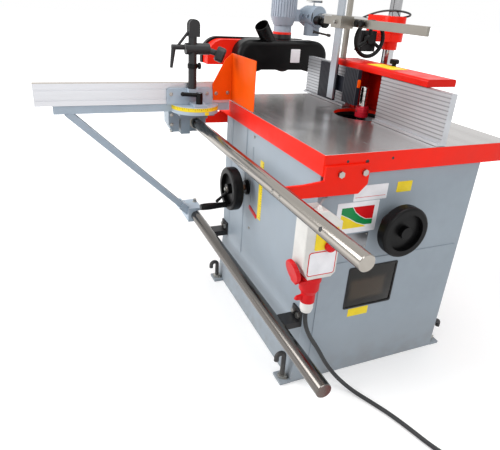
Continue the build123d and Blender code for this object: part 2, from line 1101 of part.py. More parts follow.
with BuildPart() as mains_cord:
    with BuildLine() as cord_line:
        FilletPolyline(*cord_points, radius=cord_radii)
    with BuildSketch(Plane(origin=cord_points[0], z_dir=cord_points[1] - cord_points[0])):
        Circle(cord_radius)
    sweep(path=cord_line.line)
cord_section = pi * cord_radius**2
cord_length = cord_line.wire().length
print("cord length", round(cord_length), "volume share", mains_cord.part.volume / cord_section / cord_length)
keep(mains_cord, "mains_cord")

# The rest of the cord, wound in two layers: in on the floor, up at the middle and out again on top
coil_inner = coil_outer - coil_turns * coil_pitch
coil_stops = [(coil_outer - step * coil_pitch / 4, floor_z) for step in range(quarters + 1)]
coil_stops += [(coil_inner - coil_pitch / 8, floor_z + coil_step / 2), (coil_inner, floor_z + coil_step)]
for step in range(1, quarters + 1):
    climb = max(0, step - quarters + 2) * coil_rise / 2
    coil_stops.append((coil_inner + step * coil_pitch / 4, floor_z + coil_step + climb))
coil_corners = [coil_point(90 * step, *stop) for step, stop in enumerate(coil_stops)]
with BuildPart() as cord_coil:
    with BuildLine() as coil_line:
        Line(coil_entry, coil_start)
        heading = coil_tangent
        for corner, after in zip(coil_corners, coil_corners[1:]):
            arc = TangentArc(corner, after, tangent=heading)
            heading = arc % 1
        coil_exit = coil_corners[-1] + heading * coil_tail
        Line(coil_corners[-1], coil_exit)
    with BuildSketch(Plane(origin=coil_entry, z_dir=coil_tangent)):
        Circle(cord_radius)
    sweep(path=coil_line.line)
coil_wire = coil_line.wire()
coil_length = coil_wire.length
print("coil length", round(coil_length), "volume share", cord_coil.part.volume / cord_section / coil_length)
samples = [coil_wire @ (step / 1200) for step in range(1201)]
apart = int(1200 * 3 * cord_diameter / coil_length)
least = min((samples[i] - samples[j]).length for i in range(0, 1201, 2) for j in range(i + apart, 1201, 2))
print("coil self gap", round(least - cord_diameter, 2))
keep(cord_coil, "cord_coil")

# Mains plug at the end of the cord: a tapered grip, a collar and a round shroud with pins inside
plug_heading = heading.normalized()
with BuildPart() as cord_plug:
    turned(
        coil_exit,
        plug_heading,
        [
            (0, 0),
            (plug_grip * 0.7, 0),
            (plug_grip, plug_length * 0.12),
            (plug_grip, plug_length * 0.4),
            (plug_radius, plug_length * 0.55),
            (plug_radius, plug_length),
            (plug_radius - plug_wall, plug_length),
            (plug_radius - plug_wall, plug_length * 0.65),
            (0, plug_length * 0.65),
        ],
    )
    for pin in range(5):
        turn = 2 * pi * pin / 5
        side = plug_heading.cross(Vector(0, 0, 1)) * (cos(turn) * plug_radius * 0.55)
        root = coil_exit + side + Vector(0, 0, sin(turn) * plug_radius * 0.55)
        rod(root + plug_heading * plug_length * 0.6, root + plug_heading * plug_length * 0.93, 2.5)
keep(cord_plug, "cord_plug")

# Guide under the table that the spindle unit slides on, with the foot bearing of the lift screw
guide_top = table_height - table_plate
guide_left = spindle_x - guide_width / 2
with BuildPart() as slideway:
    block(
        (guide_left, guide_left + guide_width),
        (guide_y, guide_y + guide_thickness),
        (guide_bottom, guide_top),
    )
    block(
        (screw_x - screw_bearing_half, guide_left + screw_bracket_root),
        (screw_y - screw_bearing_half, guide_y + guide_thickness),
        (screw_bottom, screw_bottom + screw_bearing_height),
    )
    rod(
        (screw_x, screw_y, screw_bottom),
        (screw_x, screw_y, screw_bottom + screw_bearing_height),
        screw_radius + running_gap,
        mode=Mode.SUBTRACT,
    )
keep(slideway, "slideway")

# Spindle quill with its slide, the nut of the lift screw and the plate that carries the motor
plate_bottom = quill_bottom - motor_plate_thickness
pulley_top = plate_bottom - pulley_gap
pulley_bottom = pulley_top - pulley_width
with BuildPart() as quill:
    rod((spindle_x, spindle_y, quill_bottom), (spindle_x, spindle_y, quill_top), quill_radius)
    block(
        (spindle_x - slide_width / 2, spindle_x + slide_width / 2),
        (spindle_y, guide_y - body_gap),
        (slide_bottom, slide_top),
    )
    block(
        (screw_x - nut_half, spindle_x),
        (screw_y - nut_half, screw_y + nut_half),
        (nut_bottom, nut_bottom + nut_height),
    )
    with BuildSketch(Plane.XY.offset(plate_bottom)):
        with Locations((spindle_x, spindle_y)):
            Circle(quill_radius + motor_plate_margin)
        with Locations((motor_x, spindle_y)):
            Circle(motor_radius + motor_plate_margin)
        make_hull()
    extrude(amount=motor_plate_thickness)
    rod(
        (spindle_x, spindle_y, plate_bottom),
        (spindle_x, spindle_y, quill_top),
        bearing_radius + seat_gap,
        mode=Mode.SUBTRACT,
    )
    rod(
        (motor_x, spindle_y, plate_bottom),
        (motor_x, spindle_y, quill_bottom),
        motor_hole_radius,
        mode=Mode.SUBTRACT,
    )
    rod(
        (screw_x, screw_y, nut_bottom),
        (screw_x, screw_y, nut_bottom + nut_height),
        screw_radius + running_gap,
        mode=Mode.SUBTRACT,
    )
keep(quill, "quill")

# Ball bearings at the two ends of the quill
with BuildPart() as spindle_bearings:
    for bearing_bottom in (plate_bottom + motor_plate_thickness, quill_top - bearing_width):
        middle = (spindle_x, spindle_y, bearing_bottom + bearing_width / 2)
        with Locations(middle):
            Cylinder(bearing_radius, bearing_width)
            Cylinder(journal_radius + running_gap, bearing_width, mode=Mode.SUBTRACT)
keep(spindle_bearings, "spindle_bearings")

# Pulleys of the spindle and of the motor, with rims that guide the belt
belt_bottom = (pulley_bottom + pulley_top - belt_width) / 2


def pulley(x, radius):
    """Turn a rimmed flat-belt pulley about an upright axis."""
    turned(
        (x, spindle_y, pulley_bottom),
        (0, 0, 1),
        [
            (0, 0),
            (radius + pulley_rim, 0),
            (radius + pulley_rim, pulley_rim_height),
            (radius, pulley_rim_height),
            (radius, pulley_width - pulley_rim_height),
            (radius + pulley_rim, pulley_width - pulley_rim_height),
            (radius + pulley_rim, pulley_width),
            (0, pulley_width),
        ],
    )


# Spindle: pulley, journals, collar seat and the bright arbor for the cutters
with BuildPart() as spindle:
    turned(
        (spindle_x, spindle_y, 0),
        (0, 0, 1),
        [
            (0, pulley_bottom),
            (journal_radius, pulley_bottom),
            (journal_radius, collar_bottom),
            (collar_seat_radius, collar_bottom),
            (collar_seat_radius, collar_top),
            (arbor_radius, collar_top),
            (arbor_radius, arbor_top - arbor_chamfer),
            (arbor_radius - arbor_chamfer, arbor_top),
            (0, arbor_top),
        ],
    )
    pulley(spindle_x, spindle_pulley_radius)
    for groove_rise in arbor_groove_rises:
        with Locations((spindle_x, spindle_y, table_height + groove_rise)):
            Cylinder(arbor_radius + arbor_groove, arbor_groove, mode=Mode.SUBTRACT)
            Cylinder(arbor_radius - arbor_groove, arbor_groove)
keep(spindle, "spindle")

# Red collar below the arbor
with BuildPart() as spindle_collar:
    turned(
        (spindle_x, spindle_y, collar_bottom),
        (0, 0, 1),
        [
            (collar_seat_radius + seat_gap, 0),
            (collar_radius, 0),
            (collar_radius, collar_top - collar_bottom - collar_chamfer),
            (collar_radius - collar_chamfer, collar_top - collar_bottom),
            (collar_seat_radius + seat_gap, collar_top - collar_bottom),
        ],
    )
keep(spindle_collar, "spindle_collar")

# Motor pulley in one piece with the motor's shaft
with BuildPart() as motor_pulley:
    pulley(motor_x, motor_pulley_radius)
    rod(
        (motor_x, spindle_y, pulley_top),
        (motor_x, spindle_y, quill_bottom + motor_height / 2),
        motor_shaft_radius,
    )
keep(motor_pulley, "motor_pulley")

# Flat drive belt round both pulleys
with BuildPart() as drive_belt:
    for grow, way in ((body_gap + belt_thickness, Mode.ADD), (body_gap, Mode.SUBTRACT)):
        with BuildSketch(Plane.XY.offset(belt_bottom)):
            with Locations((spindle_x, spindle_y)):
                Circle(spindle_pulley_radius + grow)
            with Locations((motor_x, spindle_y)):
                Circle(motor_pulley_radius + grow)
            make_hull()
        extrude(amount=belt_width, mode=way)
keep(drive_belt, "drive_belt")

# Drive motor standing on its plate, bored for the pulley's shaft
with BuildPart() as drive_motor:
    rod(
        (motor_x, spindle_y, quill_bottom),
        (motor_x, spindle_y, quill_bottom + motor_height),
        motor_radius,
    )
    fillet(drive_motor.edges().filter_by(GeomType.CIRCLE).sort_by(Axis.Z)[-1], motor_fillet)
    rod(
        (motor_x, spindle_y, quill_bottom),
        (motor_x, spindle_y, quill_bottom + motor_height / 2 + body_gap),
        motor_shaft_radius + running_gap,
        mode=Mode.SUBTRACT,
    )
keep(drive_motor, "drive_motor")

# Lift screw, turned by a bevel wheel from the front shaft
bevel_top = front_shaft_z - bevel_small_radius - body_gap
shaft_radius = shaft_diameter / 2
with BuildPart() as lift_screw:
    turned(
        (screw_x, screw_y, 0),
        (0, 0, 1),
        [
            (0, screw_bottom),
            (screw_radius, screw_bottom),
            (screw_radius, bevel_top - bevel_height),
            (bevel_radius, bevel_top - bevel_height),
            (bevel_small_radius, bevel_top),
            (screw_radius, bevel_top),
            (screw_radius, screw_top),
            (0, screw_top),
        ],
    )
keep(lift_screw, "lift_screw")

# Shaft of the front handwheel, with the bevel pinion at its inner end
pinion_end = screw_y - bevel_small_radius - body_gap
with BuildPart() as front_shaft:
    turned(
        (front_shaft_x, 0, front_shaft_z),
        (0, 1, 0),
        [
            (0, front_wheel_y - wheel_hub_front),
            (shaft_radius, front_wheel_y - wheel_hub_front),
            (shaft_radius, pinion_end - bevel_height),
            (bevel_radius, pinion_end - bevel_height),
            (bevel_small_radius, pinion_end),
            (0, pinion_end),
        ],
    )
keep(front_shaft, "front_shaft")


def handwheel(origin, outward):
    """Turn a dished handwheel: rim, web and hub."""
    rim_inside = wheel_radius - wheel_rim_width
    turned(
        origin,
        outward,
        [
            (rim_inside, -wheel_rim_depth / 2),
            (wheel_radius, -wheel_rim_depth / 2),
            (wheel_radius, wheel_rim_depth / 2),
            (rim_inside, wheel_rim_depth / 2),
        ],
        rounding=wheel_rim_fillet,
    )
    turned(
        origin,
        outward,
        [
            (0, -wheel_hub_back),
            (wheel_hub_radius, -wheel_hub_back),
            (wheel_hub_radius, -wheel_web / 2),
            (rim_inside + web_overlap, -wheel_web / 2),
            (rim_inside + web_overlap, wheel_web / 2),
            (wheel_hub_radius, wheel_web / 2),
            (wheel_hub_radius, wheel_hub_front),
            (0, wheel_hub_front),
        ],
    )


# Front handwheel with the pin that carries the crank handle
crank_z = front_shaft_z - crank_ring
crank_root = front_wheel_y - wheel_rim_depth / 2
with BuildPart() as front_handwheel:
    handwheel((front_shaft_x, front_wheel_y, front_shaft_z), (0, -1, 0))
    rod(
        (front_shaft_x, front_wheel_y - wheel_hub_front, front_shaft_z),
        (front_shaft_x, front_wheel_y + wheel_hub_back, front_shaft_z),
        shaft_radius + seat_gap,
        mode=Mode.SUBTRACT,
    )
    rod(
        (front_shaft_x, crank_root - crank_length, crank_z),
        (front_shaft_x, front_wheel_y, crank_z),
        crank_pin_radius,
    )
keep(front_handwheel, "front_handwheel")

# Crank handle, free to spin on its pin
with BuildPart() as crank_handle:
    with BuildSketch(
        Plane(origin=(front_shaft_x, crank_root - crank_gap, crank_z), x_dir=(1, 0, 0), z_dir=(0, 0, 1))
    ):
        with BuildLine():
            inner = crank_pin_radius + running_gap
            Line((inner, 0), (crank_root_radius, 0))
            Spline(
                (crank_root_radius, 0),
                (crank_neck_radius, -crank_length * 0.2),
                (crank_belly_radius, -crank_length * 0.7),
                (crank_root_radius, -crank_length),
            )
            Line((crank_root_radius, -crank_length), (inner, -crank_length))
            Line((inner, -crank_length), (inner, 0))
        make_face()
    revolve(axis=Axis((front_shaft_x, 0, crank_z), (0, 1, 0)))
keep(crank_handle, "crank_handle")

# Side handwheel in one piece with its shaft
with BuildPart() as side_handwheel:
    handwheel((side_wheel_x, side_shaft_y, side_shaft_z), (1, 0, 0))
    rod(
        (side_shaft_end, side_shaft_y, side_shaft_z),
        (side_wheel_x, side_shaft_y, side_shaft_z),
        shaft_radius,
    )
keep(side_handwheel, "side_handwheel")

# Flanged bearings of the two handwheel shafts
with BuildPart() as shaft_flanges:
    for origin, outward in (
        ((front_shaft_x, cabinet_front, front_shaft_z), (0, -1, 0)),
        ((cabinet_right, side_shaft_y, side_shaft_z), (1, 0, 0)),
    ):
        turned(
            origin,
            outward,
            [
                (shaft_radius + running_gap, 0),
                (flange_diameter / 2, 0),
                (flange_diameter / 2, flange_thickness - flange_bevel),
                (flange_diameter / 2 - flange_bevel, flange_thickness),
                (shaft_radius + running_gap, flange_thickness),
            ],
        )
keep(shaft_flanges, "shaft_flanges")

# Carriage casting that slides on the upper bar: top plate, two bearing lugs, two front legs
# and the graduated half disc that the mitre fence swivels over
bush_radius = upper_bar_diameter / 2 + bush_wall
block_top = carriage_top - carriage_plate
block_bottom = block_top - carriage_block
lug_right = carriage_right - lug_setback
with BuildPart() as carriage:
    block(
        (carriage_left, carriage_plate_right),
        (carriage_plate_front, carriage_plate_back),
        (block_top, carriage_top),
    )
    block((carriage_left, carriage_right), (carriage_front, lug_back), (block_bottom, block_top))
    block((carriage_left, lug_right), (inner_leg_back, lug_back), (lug_bottom, block_bottom))
    block(
        (carriage_left, carriage_right),
        (inner_leg_front, inner_leg_back),
        (inner_leg_bottom, block_bottom),
    )
    with BuildSketch(Plane.YZ.offset(carriage_left)):
        with BuildLine():
            Polyline(
                (carriage_front, block_bottom),
                (outer_leg_back, block_bottom),
                (outer_leg_back, outer_leg_bottom),
                (carriage_front + outer_leg_slope, outer_leg_bottom),
                (carriage_front, outer_leg_bottom + outer_leg_knee),
                close=True,
            )
        make_face()
    extrude(amount=carriage_right - carriage_left)
    rod(
        (carriage_left, upper_bar_y, upper_bar_z),
        (carriage_right, upper_bar_y, upper_bar_z),
        bush_radius + seat_gap,
        mode=Mode.SUBTRACT,
    )
    with BuildSketch(Plane.XY.offset(carriage_top)):
        with Locations((pivot_x, pivot_y)):
            Circle(quadrant_radius)
        with Locations((beam_right + seat_gap, pivot_y)):
            Rectangle(
                quadrant_radius * 2,
                quadrant_radius * 2,
                align=(Align.MAX, Align.CENTER),
                mode=Mode.SUBTRACT,
            )
    extrude(amount=beam_height)
keep(carriage, "carriage")

# Bronze bush in the carriage's lug, running on the upper bar
with BuildPart() as carriage_bushes:
    rod((carriage_left, upper_bar_y, upper_bar_z), (lug_right, upper_bar_y, upper_bar_z), bush_radius)
    rod(
        (carriage_left, upper_bar_y, upper_bar_z),
        (lug_right, upper_bar_y, upper_bar_z),
        upper_bar_diameter / 2 + running_gap,
        mode=Mode.SUBTRACT,
    )
keep(carriage_bushes, "carriage_bushes")

# Outrigger beam on the carriage
with BuildPart() as outrigger_beam:
    block((beam_left, beam_right), (beam_front, beam_back), (carriage_top, carriage_top + beam_height))
    fillet(outrigger_beam.edges().filter_by(Axis.Y).sort_by(Axis.Z)[-2:], beam_edge)
keep(outrigger_beam, "outrigger_beam")

# Sloping strut up to the outer end of the beam. Its foot block lies over the top and the front of the
# lower bar, and is open behind, so that it passes the box brackets
saddle_inside = lower_bar_radius + body_gap
foot_front = lower_bar_y - saddle_inside - foot_wall
foot_top = lower_bar_z + lower_bar_radius + foot_roof_gap + foot_roof
strut_root = Vector(strut_foot_x, lower_bar_y - strut_root_shift, lower_bar_z)
strut_head = Vector((beam_left + beam_right) / 2, strut_head_y, carriage_top + strut_head_rise)
strut_line = strut_head - strut_root
with BuildPart() as support_strut:
    strut_axis = strut_line.normalized()
    strut_side = Vector(1, 0, 0) - strut_axis * strut_axis.X
    with Locations(Plane(origin=strut_root, x_dir=strut_side, z_dir=strut_axis)):
        with Locations((0, 0, strut_line.length / 2)):
            Box(strut_width, strut_depth, strut_line.length)
            for face in (-1, 1):
                with Locations((0, face * (strut_depth - strut_groove_depth) / 2, 0)):
                    Box(strut_groove_width, strut_groove_depth, strut_line.length, mode=Mode.SUBTRACT)
        with Locations((0, 0, strut_socket_length / 2)):
            Box(strut_width + 2 * strut_socket_wall, strut_depth + 2 * strut_socket_wall, strut_socket_length)
    foot_span = (strut_foot_x - strut_foot_length / 2, strut_foot_x + strut_foot_length / 2)
    block(foot_span, (foot_front, lower_bar_y + foot_reach), (lower_bar_z - foot_drop, foot_top))
    block(
        foot_span,
        (lower_bar_y - body_gap, lower_bar_y + 2 * foot_reach),
        (lower_bar_z - 2 * foot_drop, foot_top - foot_roof),
        mode=Mode.SUBTRACT,
    )
    rod(
        (strut_foot_x - strut_foot_length, lower_bar_y, lower_bar_z),
        (strut_foot_x + strut_foot_length, lower_bar_y, lower_bar_z),
        saddle_inside,
        mode=Mode.SUBTRACT,
    )
    block(
        (strut_head.X - strut_width * 2, strut_head.X + strut_width * 2),
        (strut_head.Y - strut_width * 3, strut_head.Y + strut_width * 3),
        (carriage_top - seat_gap, carriage_top + beam_height * 3),
        mode=Mode.SUBTRACT,
    )
keep(support_strut, "support_strut")

# Fence block that swivels on the quadrant, with the tongue that its locking lever stands on
fence_bottom = carriage_top + beam_height + swivel_gap
with BuildPart() as fence_block:
    block(
        (fence_block_left, fence_block_right),
        (fence_block_front, fence_block_back),
        (fence_bottom, fence_block_top),
    )
    fillet(fence_block.edges().filter_by(Axis.X).sort_by(Axis.Z)[-2:], fence_block_corner)
    block(
        (fence_block_left, fence_boss_right),
        (pillar_y - fence_boss_half, pillar_y + fence_boss_half),
        (fence_block_top - fence_boss_height, fence_block_top),
    )
    block(
        (fence_block_right, tongue_right),
        (pivot_y - tongue_half, pivot_y + tongue_half),
        (fence_bottom, fence_bottom + tongue_height),
    )
    rod(
        (lever_x, pivot_y, fence_bottom + tongue_height),
        (lever_x, pivot_y, fence_bottom + tongue_height + lever_boss_height),
        lever_pin_radius,
    )
    rod(
        (pillar_x, pillar_y, fence_block_top - pillar_socket),
        (pillar_x, pillar_y, fence_block_top),
        pillar_radius + seat_gap,
        mode=Mode.SUBTRACT,
    )
keep(fence_block, "fence_block")

# Mitre fence: a slotted aluminium section beside the block
mitre_left = fence_block_left - mitre_thickness
with BuildPart() as mitre_fence:
    block(
        (mitre_left, fence_block_left),
        (mitre_front, mitre_back),
        (fence_bottom, fence_bottom + mitre_height),
    )
    for slot in mitre_slots:
        for start in (mitre_left, fence_block_left - mitre_slot_depth):
            block(
                (start, start + mitre_slot_depth),
                (mitre_front, mitre_back),
                (fence_bottom + slot - mitre_slot_height / 2, fence_bottom + slot + mitre_slot_height / 2),
                mode=Mode.SUBTRACT,
            )
keep(mitre_fence, "mitre_fence")

# Orange guard: one sheet bent along its upright edge
wing_back = guard_y - guard_sheet
with BuildPart() as fence_guard:
    block(
        (fence_block_left, guard_right),
        (guard_y - guard_sheet, guard_y),
        (guard_bottom, guard_top),
    )
    fillet(fence_guard.edges().filter_by(Axis.Y).sort_by(Axis.X)[-2:], guard_corner)
    with BuildSketch(Plane(origin=(fence_block_left, 0, 0), x_dir=(0, 1, 0), z_dir=(1, 0, 0))):
        with BuildLine():
            Polyline(
                (wing_back, guard_bottom),
                (wing_back, guard_top),
                (wing_back - guard_slope_reach, guard_top - guard_slope_drop),
                (wing_back - guard_wing_peak_reach, guard_bottom + guard_wing_peak),
                (wing_back - guard_wing_reach, guard_bottom),
                close=True,
            )
        make_face()
    extrude(amount=guard_sheet)
keep(fence_guard, "fence_guard")

# Locking lever of the fence on the quadrant
lever_bottom = fence_bottom + tongue_height + swivel_gap
with BuildPart() as quadrant_lever:
    rod(
        (lever_x, pivot_y, lever_bottom),
        (lever_x, pivot_y, lever_bottom + lever_boss_height),
        lever_boss_radius,
    )
    lever_root = Vector(lever_x, pivot_y, lever_bottom + lever_boss_height - lever_arm_drop)
    lever_tip = lever_root + Vector(0, -lever_arm_length, lever_arm_lift)
    rod(lever_root, lever_tip, lever_arm_radius)
    with Locations(lever_tip):
        Sphere(lever_knob_radius)
    rod(
        (lever_x, pivot_y, lever_bottom),
        (lever_x, pivot_y, lever_bottom + lever_boss_height),
        lever_pin_radius + running_gap,
        mode=Mode.SUBTRACT,
    )
keep(quadrant_lever, "quadrant_lever")

# Pillar of the work clamp: tube, fork head and the pin of the clamp lever
with BuildPart() as clamp_pillar:
    rod(
        (pillar_x, pillar_y, fence_block_top - pillar_socket),
        (pillar_x, pillar_y, pillar_top),
        pillar_radius,
    )
    block(
        (pillar_x - fork_width / 2, pillar_x + fork_width / 2),
        (fork_pin_y - fork_radius, fork_pin_y + fork_radius),
        (pillar_top, fork_pin_z),
    )
    rod(
        (pillar_x - fork_width / 2, fork_pin_y, fork_pin_z),
        (pillar_x + fork_width / 2, fork_pin_y, fork_pin_z),
        fork_radius,
    )
    block(
        (pillar_x - fork_slot / 2, pillar_x + fork_slot / 2),
        (fork_pin_y - 2 * fork_radius, fork_pin_y + 2 * fork_radius),
        (pillar_top + fork_floor, fork_pin_z + 2 * fork_radius),
        mode=Mode.SUBTRACT,
    )
    rod(
        (pillar_x - fork_width / 2, fork_pin_y, fork_pin_z),
        (pillar_x + fork_width / 2, fork_pin_y, fork_pin_z),
        fork_pin_radius,
    )
keep(clamp_pillar, "clamp_pillar")

# Clamp lever on the fork's pin: sloping rod, hub and hanging handle
with BuildPart() as clamp_lever:
    eye_half = fork_slot / 2 - body_gap
    rod(
        (pillar_x - eye_half, fork_pin_y, fork_pin_z),
        (pillar_x + eye_half, fork_pin_y, fork_pin_z),
        lever_eye_radius,
    )
    rod((pillar_x, fork_pin_y, fork_pin_z), (pillar_x, hub_y, hub_z), lever_rod_radius)
    rod((pillar_x, hub_left, hub_z), (pillar_x, hub_right, hub_z), hub_radius)
    handle_root = Vector(pillar_x, handle_y, hub_z)
    handle_line = Vector(pillar_x, handle_end_y, handle_end_z) - handle_root
    turned(
        handle_root,
        handle_line,
        [(0, 0), (handle_radius, 0), (handle_end_radius, handle_line.length), (0, handle_line.length)],
    )
    rod(
        (pillar_x - eye_half, fork_pin_y, fork_pin_z),
        (pillar_x + eye_half, fork_pin_y, fork_pin_z),
        fork_pin_radius + running_gap,
        mode=Mode.SUBTRACT,
    )
keep(clamp_lever, "clamp_lever")

# Clamp barrel that slides on the pillar, with its neck and round pad
with BuildPart() as pillar_clamp:
    rod((pillar_x, clamp_left, clamp_z), (pillar_x, clamp_right, clamp_z), clamp_radius)
    neck_end = Vector(neck_x, neck_y, clamp_z - neck_drop)
    pad_end = Vector(pad_x, pad_y, clamp_z - pad_drop)
    rod((pillar_x, clamp_right - clamp_radius, clamp_z), neck_end, clamp_neck_radius)
    pad_depth = (pad_end - neck_end).length
    turned(
        neck_end,
        pad_end - neck_end,
        [
            (0, -pad_edge),
            (pad_radius - pad_edge, -pad_edge),
            (pad_radius, 0),
            (pad_radius, pad_depth - pad_edge),
            (pad_radius - pad_edge, pad_depth),
            (0, pad_depth),
        ],
    )
    rod(
        (pillar_x, pillar_y, clamp_z - clamp_radius),
        (pillar_x, pillar_y, clamp_z + clamp_radius),
        pillar_radius + running_gap,
        mode=Mode.SUBTRACT,
    )
keep(pillar_clamp, "pillar_clamp")

# Red fence hood: open-fronted chip box with front flanges for the plates, and the long cover on top
with BuildPart() as hood_lid:
    block((cover_left, cover_right), (cover_front, cover_back), (hood_top, hood_top + cover_height))
    fillet(hood_lid.edges().filter_by(Axis.X).sort_by(Axis.Z)[-2:], cover_edge)
    block(
        (cover_left + hood_wall, cover_right - hood_wall),
        (cover_front + hood_wall, cover_back - hood_wall),
        (hood_top, hood_top + cover_height - hood_wall),
        mode=Mode.SUBTRACT,
    )

with BuildPart() as fence_hood:
    block((hood_left, hood_right), (hood_front, hood_back), (table_height, hood_top))
    block(
        (hood_left + hood_wall, hood_right - hood_wall),
        (hood_front, hood_back - hood_wall),
        (table_height, hood_top),
        mode=Mode.SUBTRACT,
    )
    for edge, inward in ((hood_left, 1), (hood_right, -1)):
        block(
            sorted((edge, edge + inward * hood_flange)),
            (hood_front, hood_front + hood_wall),
            (table_height, hood_top),
        )
    add(hood_lid.part)
    block(
        (hood_left, hood_right),
        (cover_back - hood_wall, hood_back),
        (hood_top, hood_top + hood_wall),
    )
keep(fence_hood, "fence_hood")

# Ribbed aluminium fence plates, each on a carrier block against the hood's flange
plate_bottom = table_height + plate_bottom_gap
plate_back = hood_front - body_gap
rib_pitch = (plate_top - plate_bottom - ledge_height) / plate_ribs


def fence_plate(start, front, carrier):
    """Extrude a fence plate with a foot ledge and horizontal grooves, and its carrier behind."""
    block((start, start + plate_length), (front, front + plate_thickness), (plate_bottom, plate_top))
    for rib in range(1, plate_ribs):
        groove_z = plate_bottom + ledge_height + rib * rib_pitch
        block(
            (start, start + plate_length),
            (front, front + plate_rib_depth),
            (groove_z - plate_rib_groove / 2, groove_z + plate_rib_groove / 2),
            mode=Mode.SUBTRACT,
        )
    block(
        (start, start + plate_length),
        (front - ledge_depth, front),
        (plate_bottom, plate_bottom + ledge_height),
    )
    block(carrier, (front + plate_thickness, plate_back), (plate_bottom, plate_top))


with BuildPart() as left_fence_plate:
    fence_plate(left_plate_start, left_plate_front, (hood_left, left_plate_start + plate_length))
keep(left_fence_plate, "left_fence_plate")

with BuildPart() as right_fence_plate:
    fence_plate(right_plate_start, right_plate_front, (right_plate_start, hood_right))
keep(right_fence_plate, "right_fence_plate")

# Post, cross bar and clamp block that hold the pressure shoes
cross_back = post_y - post_size / 2
cross_front = cross_back - cross_thickness
holder_bar_front = holder_bar_back - holder_bar_thickness
with BuildPart() as pressure_bars:
    block(
        (post_x - post_size / 2, post_x + post_size / 2),
        (post_y - post_size / 2, post_y + post_size / 2),
        (hood_top + cover_height, post_top),
    )
    block((cross_left, cross_right), (cross_front, cross_back), (cross_bottom, cross_bottom + cross_height))
    block(
        (
            holder_bar_x - holder_bar_width / 2 - holder_block_margin,
            holder_bar_x + holder_bar_width / 2 + holder_block_margin,
        ),
        (holder_bar_front - holder_block_margin, cross_front),
        (cross_bottom - holder_block_margin / 2, cross_bottom + cross_height + holder_block_margin / 2),
    )
    block(
        (
            holder_bar_x - holder_bar_width / 2 - running_gap,
            holder_bar_x + holder_bar_width / 2 + running_gap,
        ),
        (holder_bar_front - running_gap, holder_bar_back + running_gap),
        (cross_bottom - holder_block_margin, cross_bottom + cross_height + holder_block_margin),
        mode=Mode.SUBTRACT,
    )
keep(pressure_bars, "pressure_bars")

# Upright holder bar, the two ribbed pressure shoes behind it and the rail that joins them
shoe_back = holder_bar_back + shoe_thickness
shoe_spans = (
    (*left_shoe, table_height + left_shoe_rise),
    (*right_shoe, table_height + right_shoe_rise),
)
with BuildPart() as pressure_slide:
    block(
        (holder_bar_x - holder_bar_width / 2, holder_bar_x + holder_bar_width / 2),
        (holder_bar_front, holder_bar_back),
        (holder_bottom, post_top),
    )
    block(
        (shoe_spans[0][0], rail_end),
        (shoe_back, shoe_back + rail_thickness),
        (rail_bottom, rail_bottom + rail_height),
    )
    for start, end, low in shoe_spans:
        block((start, end), (holder_bar_back, shoe_back), (low, shoe_top))
        for rib in range(1, int((end - start) / shoe_rib_pitch)):
            rib_x = start + rib * shoe_rib_pitch
            block(
                (rib_x - shoe_rib_groove / 2, rib_x + shoe_rib_groove / 2),
                (holder_bar_back, holder_bar_back + shoe_rib_groove),
                (low, shoe_top),
                mode=Mode.SUBTRACT,
            )
keep(pressure_slide, "pressure_slide")

# Column of the power feeder, standing on a round flange
with BuildPart() as feeder_column:
    rod((column_x, column_y, table_height), (column_x, column_y, column_top), column_radius)
    rod(
        (column_x, column_y, table_height),
        (column_x, column_y, table_height + column_flange_height),
        column_flange_radius,
    )
keep(feeder_column, "feeder_column")

# Lifting sleeve on the column, with a collar below and the gear box of its handwheel in front
sleeve_step = sleeve_bottom + sleeve_collar_height
with BuildPart() as feeder_sleeve:
    block(
        (gear_box_left, sleeve_block_right),
        (gear_box_front, sleeve_block_front + body_gap),
        (gear_box_bottom, gear_box_top),
    )
    fillet(feeder_sleeve.edges().filter_by(Axis.Z).sort_by(Axis.Y)[:2], gear_box_corner)
    rod((column_x, column_y, sleeve_bottom), (column_x, column_y, sleeve_step), sleeve_collar_radius)
    rod((column_x, column_y, sleeve_step), (column_x, column_y, sleeve_top), sleeve_radius)
    block(
        (sleeve_block_left, sleeve_block_right),
        (sleeve_block_front, column_y),
        (sleeve_step, sleeve_top),
    )
    rod(
        (column_x, column_y, sleeve_bottom),
        (column_x, column_y, sleeve_top),
        column_radius + running_gap,
        mode=Mode.SUBTRACT,
    )
    rod(
        (sleeve_block_right - feed_shaft_depth, feed_shaft_y, feed_shaft_z),
        (sleeve_block_right, feed_shaft_y, feed_shaft_z),
        feed_shaft_radius + running_gap,
        mode=Mode.SUBTRACT,
    )
keep(feeder_sleeve, "feeder_sleeve")

# Handwheel that raises the sleeve: rim, three spokes, hub and shaft
with BuildPart() as feeder_handwheel:
    feed_centre = (feed_wheel_x, feed_shaft_y, feed_shaft_z)
    with Locations(Plane(origin=feed_centre, x_dir=(0, 0, 1), z_dir=(1, 0, 0))):
        Torus(feed_wheel_radius - feed_rim_radius, feed_rim_radius)
        Cylinder(feed_hub_radius, feed_hub_length)
        with PolarLocations(0, feed_spokes):
            Cylinder(
                feed_spoke_radius,
                feed_wheel_radius - feed_rim_radius,
                rotation=(0, 90, 0),
                align=(Align.CENTER, Align.CENTER, Align.MIN),
            )
    rod(
        (sleeve_block_right - feed_shaft_depth + body_gap, feed_shaft_y, feed_shaft_z),
        feed_centre,
        feed_shaft_radius,
    )
keep(feeder_handwheel, "feeder_handwheel")

# Swivel head on top of the sleeve, with the socket of the arm
head_bottom = sleeve_top + body_gap
column_axis = Vector(column_x, column_y, arm_z)
arm_line = Vector(knuckle_x, knuckle_y, arm_z) - column_axis
arm_length = arm_line.length
arm_way = arm_line.normalized()


def along_arm(distance, rise=0):
    """Give the point at a distance from the column along the arm's axis."""
    return column_axis + arm_way * distance + Vector(0, 0, rise)


